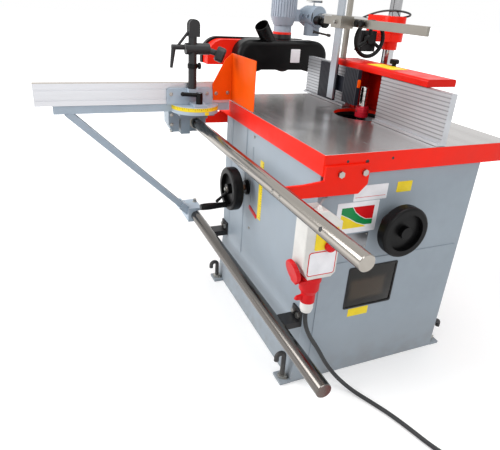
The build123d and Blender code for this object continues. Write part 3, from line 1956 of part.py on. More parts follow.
with BuildPart() as feeder_head:
    rod((column_x, column_y, head_bottom), (column_x, column_y, head_top), head_radius)
    with Locations(Plane(origin=column_axis, x_dir=arm_way, z_dir=(0, 0, 1))):
        with Locations((head_reach / 2, 0, (head_bottom + head_top) / 2 - arm_z)):
            Box(head_reach, head_width, head_top - head_bottom)
    rod(
        (column_x, column_y, head_bottom),
        (column_x, column_y, head_top),
        column_radius + running_gap,
        mode=Mode.SUBTRACT,
    )
    rod(along_arm(arm_start), along_arm(head_reach), arm_radius + seat_gap, mode=Mode.SUBTRACT)
keep(feeder_head, "feeder_head")

# Arm with the clamp knuckle at its end: barrel, lower boss, locking knob and T-bar
knuckle_start = arm_length - knuckle_length / 2
knuckle_end = arm_length + knuckle_length / 2
arm_across = arm_way.cross(Vector(0, 0, 1)).normalized()
with BuildPart() as feeder_arm:
    rod(along_arm(arm_start), along_arm(knuckle_start), arm_radius)
    rod(along_arm(knuckle_start), along_arm(knuckle_end), knuckle_radius)
    rod(along_arm(arm_length), along_arm(arm_length, knuckle_boss_bottom - arm_z), knuckle_boss_radius)
    front = along_arm(arm_length) - arm_across * knuckle_radius
    for step in (-knuckle_hole_spread, knuckle_hole_spread):
        hole = front + arm_way * step
        rod(
            hole - arm_across * knuckle_hole_depth,
            hole + arm_across * knuckle_hole_depth,
            knuckle_hole_radius,
            mode=Mode.SUBTRACT,
        )
    knob = along_arm(knuckle_start, knob_rise) - arm_across * knob_shift
    rod(knob + arm_way * knob_seat, knob - arm_way * knob_length, knob_radius)
    tee = along_arm(arm_length, knuckle_radius + tee_height)
    rod(along_arm(arm_length, knuckle_radius / 2), tee, tee_stem_radius)
    rod(tee - arm_way * (tee_length / 2), tee + arm_way * (tee_length / 2), tee_radius)
keep(feeder_arm, "feeder_arm")

# Feeder motor: finned barrel on a conical base, its neck on the body and its bracket on the knuckle
with BuildPart() as feeder_motor:
    turned(
        (feed_motor_x, feed_motor_y, 0),
        (0, 0, 1),
        [
            (0, body_top),
            (neck_radius, body_top),
            (neck_radius, feed_collar_bottom),
            (feed_collar_radius, feed_collar_bottom),
            (feed_collar_radius, boss_bottom),
            (boss_radius, boss_bottom),
            (boss_radius, cone_bottom),
            (cone_small_radius, cone_bottom),
            (feed_motor_radius, cone_top),
            (feed_motor_radius, feed_motor_top),
            (0, feed_motor_top),
        ],
    )
    with Locations((feed_motor_x, feed_motor_y, (cone_top + fin_top) / 2)):
        with PolarLocations(feed_motor_radius - fin_depth / 2, fin_count):
            Box(fin_depth, fin_width, fin_top - cone_top, mode=Mode.SUBTRACT)
    bracket_start = along_arm(knuckle_end + body_gap)
    bracket_end = along_arm(knuckle_end + body_gap + bracket_plate)
    rod(bracket_start, bracket_end, bracket_radius)
    middle = (bracket_start + bracket_end) / 2
    reach = Vector(feed_motor_x, feed_motor_y, arm_z) - middle
    with Locations(Plane(origin=middle, x_dir=arm_way, z_dir=-arm_across)):
        depth = reach.dot(-arm_across)
        with Locations((0, 0, depth / 2)):
            Box(bracket_plate, bracket_width, depth)
keep(feeder_motor, "feeder_motor")

# Red feeder body with the stub axles of the feed rollers
roller_z = cover_bottom - roller_drop + roller_radius
with BuildPart() as feeder_body:
    block((body_left, body_right), (body_front, body_back), (body_bottom, body_top))
    fillet(feeder_body.edges().filter_by(Axis.X).group_by(Axis.Z)[-1], body_shoulder)
    for roller_y in roller_places:
        rod(
            (body_right, roller_y, roller_z),
            (skirt_right - axle_end, roller_y, roller_z),
            axle_radius,
        )
keep(feeder_body, "feeder_body")

# Black roller cover beside the body, open below, with the port on top
port_low = Vector(port_x, port_y, cover_top - port_sink)
port_high = port_low + Vector(port_lean_x, -port_lean_y, port_height)


def rounded_shell(wall):
    """Build the cover's rounded outline, drawn in by a wall on every side but the body's."""
    block(
        (body_right, skirt_right - wall),
        (cover_front_y + wall, cover_back_y - wall),
        (cover_bottom, cover_top - wall),
    )


with BuildPart() as cover_hollow:
    rounded_shell(cover_wall)
    fillet(cover_hollow.edges().filter_by(Axis.X).group_by(Axis.Z)[-1], cover_shoulder - cover_wall)
    outer_edges = cover_hollow.faces().sort_by(Axis.X)[-1].edges().sort_by(Axis.Z)[1:]
    fillet(outer_edges, cover_edge_radius - cover_wall)

with BuildPart() as feeder_cover:
    rounded_shell(0)
    fillet(feeder_cover.edges().filter_by(Axis.X).group_by(Axis.Z)[-1], cover_shoulder)
    fillet(feeder_cover.faces().sort_by(Axis.X)[-1].edges().sort_by(Axis.Z)[1:], cover_edge_radius)
    rod(port_low, port_high, port_radius)
    add(cover_hollow.part, mode=Mode.SUBTRACT)
    port_way = (port_high - port_low).normalized()
    rod(port_high - port_way * port_depth, port_high, port_radius - port_wall, mode=Mode.SUBTRACT)
    with BuildSketch(Plane.YZ.offset(far_cover_left)) as far_outline:
        with Locations(((body_front + body_back) / 2, (body_bottom + body_top + far_cover_margin) / 2)):
            Rectangle(body_back - body_front + 2 * far_cover_margin, body_top - body_bottom + far_cover_margin)
        fillet(far_outline.vertices().group_by(Axis.Y)[-1], body_shoulder)
    extrude(amount=body_left - far_cover_left - seat_gap)
keep(feeder_cover, "feeder_cover")

# Rubber feed rollers on their axles
for number, roller_y in enumerate(roller_places, 1):
    with BuildPart() as feed_roller:
        start = (body_right + cover_wall, roller_y, roller_z)
        end = (body_right + cover_wall + roller_width, roller_y, roller_z)
        rod(start, end, roller_radius)
        fillet(feed_roller.edges().filter_by(GeomType.CIRCLE), roller_edge)
        rod(start, end, axle_radius + running_gap, mode=Mode.SUBTRACT)
    keep(feed_roller, f"feed_roller_{number}")
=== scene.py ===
import bmesh
import bpy
from math import cos, pi, radians, sin
from mathutils import Matrix, Vector


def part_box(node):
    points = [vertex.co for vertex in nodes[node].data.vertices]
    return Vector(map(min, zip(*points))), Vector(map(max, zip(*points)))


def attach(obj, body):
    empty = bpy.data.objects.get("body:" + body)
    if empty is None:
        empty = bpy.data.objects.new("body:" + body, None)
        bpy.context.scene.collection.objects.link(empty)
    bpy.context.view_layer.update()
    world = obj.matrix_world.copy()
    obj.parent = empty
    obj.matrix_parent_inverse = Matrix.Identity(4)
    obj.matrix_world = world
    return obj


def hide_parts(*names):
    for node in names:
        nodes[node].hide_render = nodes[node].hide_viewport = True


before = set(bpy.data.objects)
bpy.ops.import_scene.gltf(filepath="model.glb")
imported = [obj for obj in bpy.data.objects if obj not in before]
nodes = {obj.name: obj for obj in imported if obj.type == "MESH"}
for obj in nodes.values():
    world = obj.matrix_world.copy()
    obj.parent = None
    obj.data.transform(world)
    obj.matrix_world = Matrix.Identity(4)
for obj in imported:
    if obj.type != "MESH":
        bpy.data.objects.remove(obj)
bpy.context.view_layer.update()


# Camera. It stands to the right of the machine and looks down on the front corner of the table, a little
# rolled, as the photograph does.
scene = bpy.context.scene
camera_place = (1.5255, -1.0525, 1.262)
azimuth, elevation, roll = radians(65.57), radians(25.53), radians(-3.78)
forward = Vector((-sin(azimuth) * cos(elevation), cos(azimuth) * cos(elevation), -sin(elevation)))
level = forward.cross(Vector((0, 0, 1))).normalized()
plumb = forward.cross(level)
right = level * cos(roll) + plumb * sin(roll)
down = plumb * cos(roll) - level * sin(roll)
lens = bpy.data.cameras.new("camera")
lens.lens = 34.11
lens.sensor_width = 36
lens.clip_start = 0.02


def linked(name, data):
    thing = bpy.data.objects.new(name, data)
    scene.collection.objects.link(thing)
    return thing


camera = linked("camera", lens)
camera.matrix_world = Matrix.Translation(camera_place) @ Matrix((right, -down, -forward)).transposed().to_4x4()
scene.camera = camera


# Studio. A pale floor that runs out to a white background, a large soft lamp in front on the left, a
# weaker one on the right and one overhead.
scene.view_settings.view_transform = "Standard"
world = bpy.data.worlds.new("studio")
scene.world = world
world.use_nodes = True
sky = world.node_tree
backdrop = sky.nodes["Background"]
backdrop.inputs["Color"].default_value = (1, 1, 1, 1)


def sums(tree, operation, first, second):
    node = tree.nodes.new("ShaderNodeMath")
    node.operation = operation
    for socket, value in zip(node.inputs, (first, second)):
        if isinstance(value, (int, float)):
            socket.default_value = value
        else:
            tree.links.new(value, socket)
    return node.outputs[0]


def spread(tree, value, low, high, start=0.3, end=0.7):
    band = tree.nodes.new("ShaderNodeMapRange")
    band.inputs["From Min"].default_value = start
    band.inputs["From Max"].default_value = end
    band.inputs["To Min"].default_value = low
    band.inputs["To Max"].default_value = high
    tree.links.new(value, band.inputs["Value"])
    return band.outputs[0]


def seen_by(tree, *kinds):
    ray = tree.nodes.new("ShaderNodeLightPath")
    share = ray.outputs[kinds[0]]
    for kind in kinds[1:]:
        share = sums(tree, "MAXIMUM", share, ray.outputs[kind])
    return share


white_share = seen_by(sky, "Is Camera Ray", "Is Transmission Ray", "Is Glossy Ray")
fill_light, white = 0.52, 1.0
sky.links.new(spread(sky, white_share, fill_light, white, 0, 1), backdrop.inputs["Strength"])


def soft_lamp(name, place, target, size, power):
    light = bpy.data.lights.new(name, "AREA")
    light.shape = "RECTANGLE"
    light.size, light.size_y = size
    light.energy = power
    aim = (Vector(target) - Vector(place)).to_track_quat("-Z", "Y")
    linked(name, light).matrix_world = Matrix.Translation(place) @ aim.to_matrix().to_4x4()


soft_lamp("front_lamp", (-1.2, -3.4, 2.6), (0, 0, 0.7), (2.6, 1.8), 120)
soft_lamp("right_lamp", (3.6, -0.6, 2.4), (0.2, 0, 0.6), (2.2, 1.6), 37)
soft_lamp("overhead_lamp", (0.2, 0.4, 3.6), (0, 0, 0.6), (2.4, 2.4), 50)


def new_material(name):
    material = bpy.data.materials.new(name)
    material.use_nodes = True
    return material, material.node_tree, material.node_tree.nodes["Principled BSDF"]


floor_mesh = bmesh.new()
bmesh.ops.create_grid(floor_mesh, x_segments=1, y_segments=1, size=30)
ground = bpy.data.meshes.new("floor")
floor_mesh.to_mesh(ground)
floor_mesh.free()
floor = linked("floor", ground)
floor.location.z = -0.0005
pale, tree, matt = new_material("pale_floor")
matt.inputs["Base Color"].default_value = (0.86, 0.86, 0.86, 1)
matt.inputs["Roughness"].default_value = 0.9
matt.inputs["Specular IOR Level"].default_value = 0.1
matt.inputs["Emission Color"].default_value = (1, 1, 1, 1)
far = tree.nodes.new("ShaderNodeVectorMath")
far.operation = "LENGTH"
tree.links.new(tree.nodes.new("ShaderNodeTexCoord").outputs["Object"], far.inputs[0])
fade = spread(tree, far.outputs["Value"], 0.24, 0.95, 0.9, 4.5)
fade.node.interpolation_type = "SMOOTHSTEP"
glow = sums(tree, "MULTIPLY", seen_by(tree, "Is Camera Ray", "Is Glossy Ray"), fade)
tree.links.new(glow, matt.inputs["Emission Strength"])
ground.materials.append(pale)


# Mains cord. A black rubber lead, 15 mm thick: it leaves the white gland under the power connector, drops
# along the cabinet's corner to the floor and runs off to the right, where its spare length lies in a coil.
def srgb(red, green, blue):
    return tuple((v / 12.92 if v <= 0.04045 else ((v + 0.055) / 1.055) ** 2.4)
                 for v in (red / 255, green / 255, blue / 255)) + (1,)


def effect_group(name):
    group = bpy.data.node_groups.new(name, "ShaderNodeTree")
    for way, sockets in (("INPUT", ("Place Vector", "Colour Color", "Roughness Float", "Wear Float")),
                         ("OUTPUT", ("Colour Color", "Roughness Float", "Height Float"))):
        for socket in sockets:
            label, kind = socket.split()
            group.interface.new_socket(label, in_out=way, socket_type="NodeSocket" + kind)
    return group, group.nodes.new("NodeGroupInput"), group.nodes.new("NodeGroupOutput")


def noise(tree, place, scale, detail=2.0):
    texture = tree.nodes.new("ShaderNodeTexNoise")
    texture.inputs["Scale"].default_value = scale
    texture.inputs["Detail"].default_value = detail
    tree.links.new(place, texture.inputs["Vector"])
    return texture.outputs["Fac"]


def tinted(tree, colour, factor):
    node = tree.nodes.new("ShaderNodeVectorMath")
    node.operation = "SCALE"
    tree.links.new(colour, node.inputs[0])
    tree.links.new(factor, node.inputs["Scale"])
    return node.outputs[0]


def blended(tree, mask, first, second):
    node = tree.nodes.new("ShaderNodeMix")
    node.data_type = "RGBA"
    tree.links.new(mask, node.inputs["Factor"])
    for socket, value in ((node.inputs[6], first), (node.inputs[7], second)):
        if isinstance(value, tuple):
            socket.default_value = value
        else:
            tree.links.new(value, socket)
    return node.outputs[2]


def complete(group, start, end, tone, dirt, dirt_colour, gloss, dulling, height):
    clean = tinted(group, start.outputs["Colour"], tone)
    group.links.new(blended(group, dirt, clean, dirt_colour), end.inputs["Colour"])
    gloss = sums(group, "ADD", start.outputs["Roughness"], gloss)
    group.links.new(sums(group, "ADD", gloss, sums(group, "MULTIPLY", dirt, dulling)), end.inputs["Roughness"])
    group.links.new(height, end.inputs["Height"])


moulded_grain, start, end = effect_group("moulded_grain")
place = start.outputs["Place"]
speckle = noise(moulded_grain, place, 1400, 2)
cloud = noise(moulded_grain, place, 17, 3)
scuff = spread(moulded_grain, noise(moulded_grain, place, 38, 4), 0, 1, 0.5, 0.8)
tone = sums(moulded_grain, "ADD", spread(moulded_grain, cloud, 0.9, 1.06),
            spread(moulded_grain, speckle, -0.03, 0.03))
worn = sums(moulded_grain, "MULTIPLY", scuff, start.outputs["Wear"])
complete(moulded_grain, start, end, tone, worn, (0.20, 0.19, 0.18, 1), spread(moulded_grain, cloud, -0.07, 0.09), 0.3,
         speckle)


def finish_node(tree, group, colour, roughness, wear, grain):
    place = tree.nodes.new("ShaderNodeTexCoord").outputs["Object"]
    if grain != (1, 1, 1):
        mapping = tree.nodes.new("ShaderNodeMapping")
        mapping.inputs["Scale"].default_value = grain
        tree.links.new(place, mapping.inputs["Vector"])
        place = mapping.outputs[0]
    effect = tree.nodes.new("ShaderNodeGroup")
    effect.node_tree = group
    tree.links.new(place, effect.inputs["Place"])
    for socket, value in (("Colour", colour), ("Roughness", roughness), ("Wear", wear)):
        effect.inputs[socket].default_value = value
    return effect


def finished(name, group, colour, roughness, wear, bump, metal=0.0, grain=(1, 1, 1), specular=0.5):
    material, tree, shader = new_material(name)
    shader.inputs["Metallic"].default_value = metal
    shader.inputs["Specular IOR Level"].default_value = specular
    effect = finish_node(tree, group, colour, roughness, wear, grain)
    relief = tree.nodes.new("ShaderNodeBump")
    relief.inputs["Strength"].default_value = bump
    relief.inputs["Distance"].default_value = 0.0006
    tree.links.new(effect.outputs["Height"], relief.inputs["Height"])
    tree.links.new(effect.outputs["Colour"], shader.inputs["Base Color"])
    tree.links.new(effect.outputs["Roughness"], shader.inputs["Roughness"])
    tree.links.new(relief.outputs["Normal"], shader.inputs["Normal"])
    return material


def lead(name, points, diameter, material, body, around=5, steps=10):
    curve = bpy.data.curves.new(name, "CURVE")
    curve.dimensions = "3D"
    curve.bevel_depth = diameter / 2
    curve.bevel_resolution = around
    curve.resolution_u = steps
    curve.use_fill_caps = True
    path = curve.splines.new("NURBS")
    path.points.add(len(points) - 1)
    for point, spot in zip(path.points, points):
        point.co = (*spot, 1)
    path.order_u = 3
    path.use_endpoint_u = True
    curve.materials.append(material)
    piece = linked(name, curve)
    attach(piece, body)
    return piece


black_rubber = finished("black_rubber", moulded_grain, srgb(34, 35, 37), 0.52, 0.08, 0.25)
cord_diameter = 0.015
coil_middle = Vector((0.963, -0.082, 0))
route = [(0.430, -0.333, 0.346), (0.430, -0.333, 0.301), (0.430, -0.309, 0.238), (0.431, -0.262, 0.165),
         (0.437, -0.222, 0.090), (0.462, -0.184, 0.038), (0.515, -0.148, 0.012), (0.580, -0.113, 0.0079),
         (0.650, -0.082, 0.0079), (0.725, -0.058, 0.0079), (0.793, -0.040, 0.0079),
         (0.85822, -0.01328, 0.0079), (0.91523, 0.00542, 0.0079)]
# The line runs a little inside its points, so those of the coil lie spline_pull times further out.
outer_turn, inner_turn, turn_pitch, spline_pull = 0.098, 0.065, 0.0165, 1.035
lower_layer, upper_layer, end_rise = 0.0079, 0.0249, 0.0031
stops = [(outer_turn - step * turn_pitch / 4, lower_layer) for step in range(9)]
stops += [(inner_turn - turn_pitch / 8, (lower_layer + upper_layer) / 2), (inner_turn, upper_layer)]
stops += [(inner_turn + step * turn_pitch / 4, upper_layer + max(0, step - 6) * end_rise) for step in range(1, 9)]
first_bearing, point_angle, points_apart = 110, 30, 3
for step in range((len(stops) - 1) * points_apart):
    before, after = stops[step // points_apart], stops[step // points_apart + 1]
    share = (step % points_apart + 1) / points_apart
    radius = (before[0] + (after[0] - before[0]) * share) * spline_pull
    height = before[1] + (after[1] - before[1]) * share
    bearing = radians(first_bearing - point_angle * (step + 1))
    route.append(coil_middle + Vector((radius * cos(bearing), radius * sin(bearing), height)))
route += [(0.9556, -0.1904, 0.0310), (0.91476, -0.20664, 0.03098)]
mains_lead = lead("mains_lead", route, cord_diameter, black_rubber, "machine", 6, 8)
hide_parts("mains_cord", "cord_coil")


# Tie on the coil. A thin black hook-and-loop strap round both layers of the turns, with its free end
# pressed back on itself.
def finish_piece(name, shape, material, body, sharp=38):
    bmesh.ops.remove_doubles(shape, verts=shape.verts, dist=1e-6)
    bmesh.ops.recalc_face_normals(shape, faces=shape.faces)
    mesh = bpy.data.meshes.new(name)
    shape.to_mesh(mesh)
    shape.free()
    mesh.shade_smooth()
    mesh.set_sharp_from_angle(angle=radians(sharp))
    mesh.materials.append(material)
    piece = linked(name, mesh)
    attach(piece, body)
    return piece


strap = bmesh.new()
outward = Vector((cos(radians(200)), sin(radians(200)), 0))
along = Vector((-outward.y, outward.x, 0))
loop = [(0.066, 0.0002), (0.089, 0.0002), (0.0944, 0.006), (0.0944, 0.027), (0.089, 0.0338), (0.066, 0.0338),
        (0.0604, 0.027), (0.0604, 0.006)]
rim = [strap.verts.new(coil_middle + outward * r - along * 0.006 + Vector((0, 0, z))) for r, z in loop]
edges = [strap.edges.new(pair) for pair in zip(rim, rim[1:] + rim[:1])]
wide = bmesh.ops.extrude_edge_only(strap, edges=edges)["geom"]
bmesh.ops.translate(strap, vec=along * 0.012, verts=[v for v in wide if isinstance(v, bmesh.types.BMVert)])
flap = [strap.verts.new(coil_middle + outward * r + along * s + Vector((0, 0, 0.0347)))
        for r, s in ((0.068, -0.006), (0.087, -0.006), (0.087, 0.006), (0.068, 0.006))]
strap.faces.new(flap)
bmesh.ops.subdivide_edges(strap, edges=strap.edges, cuts=2, use_grid_fill=True)
black_strap = finished("black_strap", moulded_grain, srgb(30, 30, 32), 0.8, 0.1, 0.6)
coil_tie = finish_piece("coil_tie", strap, black_strap, "machine")
thick = coil_tie.modifiers.new("thickness", "SOLIDIFY")
thick.thickness = 0.0004
thick.offset = 0


def dress(material, *names):
    for name in names:
        nodes[name].data.materials.clear()
        nodes[name].data.materials.append(material)


red_plastic = finished("red_plastic", moulded_grain, srgb(208, 24, 30), 0.36, 0.02, 0.12, specular=0.16)
dress(red_plastic, "cord_plug")


# Base plate and anchor hooks. Folded and welded steel plate with a foot plate at each corner, sprayed in
# the machine's grey-blue, and bent hook bolts of bare dark steel with nuts, which anchor it for transport.
paint_film, start, end = effect_group("paint_film")
place = start.outputs["Place"]
peel = noise(paint_film, place, 520, 1)
cloud = noise(paint_film, place, 3.1, 3)
smear = noise(paint_film, place, 21, 5)
height = paint_film.nodes.new("ShaderNodeSeparateXYZ")
paint_film.links.new(place, height.inputs[0])
low = sums(paint_film, "MULTIPLY", spread(paint_film, height.outputs["Z"], 1, 0, 0.0, 0.22),
           spread(paint_film, smear, 0.15, 0.9))
chip = spread(paint_film, noise(paint_film, place, 60, 3), 0, 0.25, 0.68, 0.8)
dusty = sums(paint_film, "MULTIPLY", sums(paint_film, "MAXIMUM", low, chip), start.outputs["Wear"])
tone = sums(paint_film, "ADD", spread(paint_film, cloud, 0.94, 1.05), spread(paint_film, smear, -0.03, 0.03))
complete(paint_film, start, end, tone, dusty, (0.24, 0.22, 0.20, 1), spread(paint_film, smear, -0.06, 0.08), 0.35,
         peel)

machined_face, start, end = effect_group("machined_face")
place = start.outputs["Place"]
streak = noise(machined_face, place, 1, 4)
cloud = noise(machined_face, place, 0.05, 3)
stain = spread(machined_face, noise(machined_face, place, 0.12, 3), 0, 1, 0.45, 0.8)
tone = sums(machined_face, "ADD", spread(machined_face, cloud, 0.92, 1.05),
            spread(machined_face, streak, -0.03, 0.03))
stained = sums(machined_face, "MULTIPLY", stain, start.outputs["Wear"])
complete(machined_face, start, end, tone, stained, (0.16, 0.13, 0.10, 1), spread(machined_face, streak, -0.03, 0.04),
         0.2, streak)


def split_place(tree):
    split = tree.nodes.new("ShaderNodeSeparateXYZ")
    tree.links.new(tree.nodes.new("ShaderNodeTexCoord").outputs["Object"], split.inputs[0])
    return split.outputs


def second_finish(material, mask, group, colour, roughness, wear, metal=0.0, grain=(1, 1, 1)):
    tree = material.node_tree
    shader = tree.nodes["Principled BSDF"]
    share = mask(tree, *split_place(tree))
    effect = finish_node(tree, group, colour, roughness, wear, grain)
    under = shader.inputs["Base Color"].links[0].from_socket
    tree.links.new(blended(tree, share, under, effect.outputs["Colour"]), shader.inputs["Base Color"])
    mixed, metallic = [("Roughness", effect.outputs["Roughness"])], shader.inputs["Metallic"]
    if metallic.is_linked or abs(metallic.default_value - metal) > 0.001:
        mixed.append(("Metallic", metal))
    for socket, value in mixed:
        mix = tree.nodes.new("ShaderNodeMix")
        tree.links.new(share, mix.inputs["Factor"])
        if shader.inputs[socket].is_linked:
            tree.links.new(shader.inputs[socket].links[0].from_socket, mix.inputs[2])
        else:
            mix.inputs[2].default_value = shader.inputs[socket].default_value
        if isinstance(value, float):
            mix.inputs[3].default_value = value
        else:
            tree.links.new(value, mix.inputs[3])
        tree.links.new(mix.outputs[0], shader.inputs[socket])


machine_grey = finished("machine_grey", paint_film, srgb(150, 161, 171), 0.4, 0.5, 0.05, specular=0.35)
hook_steel = finished("hook_steel", paint_film, srgb(40, 40, 42), 0.42, 0.3, 0.2, specular=0.35)
nut_top = 0.0225
second_finish(hook_steel, lambda tree, x, y, z: sums(tree, "LESS_THAN", z, nut_top),
              machined_face, srgb(178, 177, 172), 0.34, 0.3, 0.9, (220, 220, 220))
dress(machine_grey, "base_plate")
dress(hook_steel, "anchor_hooks")


def turned(shape, foot, axis, profile, steps=32):
    foot, axis = Vector(foot), Vector(axis).normalized()
    side = axis.orthogonal().normalized()
    rim = [shape.verts.new(foot + axis * rise + side * radius) for radius, rise in profile]
    edges = [shape.edges.new(pair) for pair in zip(rim, rim[1:])]
    bmesh.ops.spin(shape, geom=rim + edges, cent=foot, axis=axis, angle=2 * pi, steps=steps, use_merge=True)


def bolt_head(shape, foot, axis, across, head):
    washer = across * 0.75
    turned(shape, foot, axis, [(washer, 0), (washer, 0.0009), (washer - 0.0005, 0.0014), (0, 0.0014)], 24)
    corner = across * 0.577
    turned(shape, foot, axis, [(corner, 0.0012), (corner, head - 0.001), (across * 0.48, head), (0, head)], 6)


zinc = finished("zinc_plate", machined_face, srgb(164, 162, 157), 0.28, 0.15, 0.08, 1.0, (300, 300, 300))


def bolts(name, body, *heads):
    shape = bmesh.new()
    for foot, axis, across, head in heads:
        bolt_head(shape, foot, axis, across, head)
    finish_piece(name, shape, zinc, body, 25)


bolts("foot_bolts", "machine", *[((x, -0.346, 0.010), (0, 0, 1), 0.013, 0.009) for x in (0.376, -0.354)])


# Cabinet. Folded steel sheet in the same grey-blue, open under the table, with pressed folds down its
# front, and a flat door with a window on the right.
dress(machine_grey, "cabinet", "side_panel")


# Folds, pointer and height scale on the cabinet's front. The folds are pressed beads in the sheet; the
# scale is a yellow printed strip with a red pointer plate beside it, both glued on.
def slab(shape, middle, across, up, outline, thickness, edge=0.0):
    middle, across, up = Vector(middle), Vector(across).normalized(), Vector(up).normalized()
    face = shape.faces.new([shape.verts.new(middle + across * u + up * v) for u, v in outline])
    grown = bmesh.ops.extrude_face_region(shape, geom=[face])["geom"]
    bmesh.ops.translate(shape, vec=across.cross(up) * thickness,
                        verts=[part for part in grown if isinstance(part, bmesh.types.BMVert)])
    if edge:
        top = [part for part in grown if isinstance(part, bmesh.types.BMFace)][0]
        bmesh.ops.bevel(shape, geom=list(top.edges), offset=edge, segments=2, affect="EDGES", profile=0.5,
                        material=-1)


def rounded(width, height, radius, steps=4):
    corners = ((1, 1, 0), (-1, 1, 90), (-1, -1, 180), (1, -1, 270))
    return [(sx * (width / 2 - radius) + radius * cos(radians(first + 90 * step / steps)),
             sy * (height / 2 - radius) + radius * sin(radians(first + 90 * step / steps)))
            for sx, sy, first in corners for step in range(steps + 1)]


def slab_piece(name, middle, across, up, outline, thickness, edge, material, body, sharp=38):
    shape = bmesh.new()
    slab(shape, middle, across, up, outline, thickness, edge)
    finish_piece(name, shape, material, body, sharp)


front, front_up, front_across = -0.320, (0, 0, 1), (1, 0, 0)
beads = bmesh.new()
for bead_x, bead_foot, bead_top in ((-0.325, 0.245, 0.802), (-0.166, 0.245, 0.802), (-0.100, 0.510, 0.745)):
    slab(beads, (bead_x, front, (bead_foot + bead_top) / 2), front_across, front_up,
         rounded(0.0045, bead_top - bead_foot, 0.002), 0.0016, 0.001)
finish_piece("front_beads", beads, machine_grey, "machine", 60)
scale_yellow = finished("scale_yellow", moulded_grain, srgb(242, 214, 40), 0.42, 0.02, 0.05, specular=0.3)
printed_black = finished("printed_black", moulded_grain, srgb(28, 28, 28), 0.5, 0.02, 0.05)
scale_foot, scale_top, scale_x = 0.476, 0.716, -0.011
slab_piece("height_scale", (scale_x, front, (scale_foot + scale_top) / 2), front_across, front_up,
           rounded(0.032, scale_top - scale_foot, 0.003), 0.0008, 0.0003, scale_yellow, "machine")
ticks = bmesh.new()
for tick in range(23):
    length = 0.014 if tick % 5 == 0 else 0.008
    slab(ticks, (scale_x + 0.015 - length / 2, front - 0.0008, scale_foot + 0.010 + tick * 0.010), front_across,
         front_up, rounded(length, 0.0014, 0.0004, 1), 0.0002)
finish_piece("scale_ticks", ticks, printed_black, "machine")
slope = radians(-13)
slab_piece("scale_pointer", (-0.069, front, 0.484), (cos(slope), 0, sin(slope)), (-sin(slope), 0, cos(slope)),
           rounded(0.082, 0.018, 0.0085, 6), 0.0022, 0.0008, red_plastic, "machine")
bolts("front_screws", "machine", *[((-0.095, front, z), (0, -1, 0), 0.008, 0.005) for z in (0.786, 0.400)])


# Plates on the cabinet's right side. Bare printed plates: a white one, a chart in three plain colours, a
# yellow tag under the window and another near the table, and a riveted aluminium plate.
wall, panel_face = 0.395, 0.398
side_across, side_up = (0, 1, 0), (0, 0, 1)
white_print = finished("white_print", moulded_grain, srgb(236, 236, 240), 0.35, 0.01, 0.03, specular=0.3)


def wall_plate(name, low, high, material, base=wall, thickness=0.0008):
    (y0, z0), (y1, z1) = low, high
    slab_piece(name, (base, (y0 + y1) / 2, (z0 + z1) / 2), side_across, side_up,
               rounded(y1 - y0, z1 - z0, min(0.003, (z1 - z0) * 0.4)), thickness, thickness * 0.3, material,
               "machine")


print_face = wall + 0.0008
wall_plate("blank_plate", (-0.189, 0.704), (-0.061, 0.756), white_print)
wall_plate("blank_plate_rule", (-0.183, 0.716), (-0.067, 0.7175), red_plastic, print_face, 0.0002)
wall_plate("chart_plate", (-0.243, 0.593), (-0.085, 0.702), white_print)
wall_plate("table_tag", (-0.025, 0.720), (0.035, 0.757), scale_yellow)
wall_plate("window_tag", (-0.135, 0.250), (-0.049, 0.283), scale_yellow, panel_face)
chart_green = finished("chart_green", moulded_grain, srgb(20, 132, 70), 0.35, 0.01, 0.03, specular=0.3)
for name, material, slot, outline in (
        ("chart_red", red_plastic, "red_plastic",
         ((-0.020, 0.037), (0.062, 0.037), (0.062, -0.010), (0.035, -0.008), (0.012, 0.004), (-0.006, 0.018))),
        ("chart_green", chart_green, "cabinet_paint",
         ((-0.062, 0.037), (-0.022, 0.037), (-0.008, 0.017), (0.011, 0.002), (0.034, -0.010), (0.062, -0.012),
          (0.062, -0.030), (0.030, -0.029), (0.000, -0.018), (-0.030, 0.000), (-0.062, 0.016))),
        ("chart_yellow", scale_yellow, "orange_plastic",
         ((-0.062, 0.014), (-0.031, -0.002), (-0.001, -0.020), (0.029, -0.031), (0.040, -0.037), (-0.062, -0.037)))):
    slab_piece(name, (print_face, -0.164, 0.648), side_across, side_up, outline[::-1], 0.0003, 0, material, "machine")
plain_plate = finished("plain_plate", machined_face, srgb(132, 134, 138), 0.34, 0.1, 0.03, 0.9, (300, 6, 300))
plate_face = wall + 0.001
wall_plate("rating_blank", (-0.243, 0.530), (-0.107, 0.588), plain_plate, wall, 0.001)
rivets = bmesh.new()
for y in (-0.236, -0.114):
    for z in (0.536, 0.582):
        turned(rivets, (plate_face, y, z), (1, 0, 0),
               [(0.0028, 0), (0.0026, 0.0007), (0.0016, 0.0013), (0, 0.0015)], 16)
finish_piece("plate_rivets", rivets, zinc, "machine", 60)


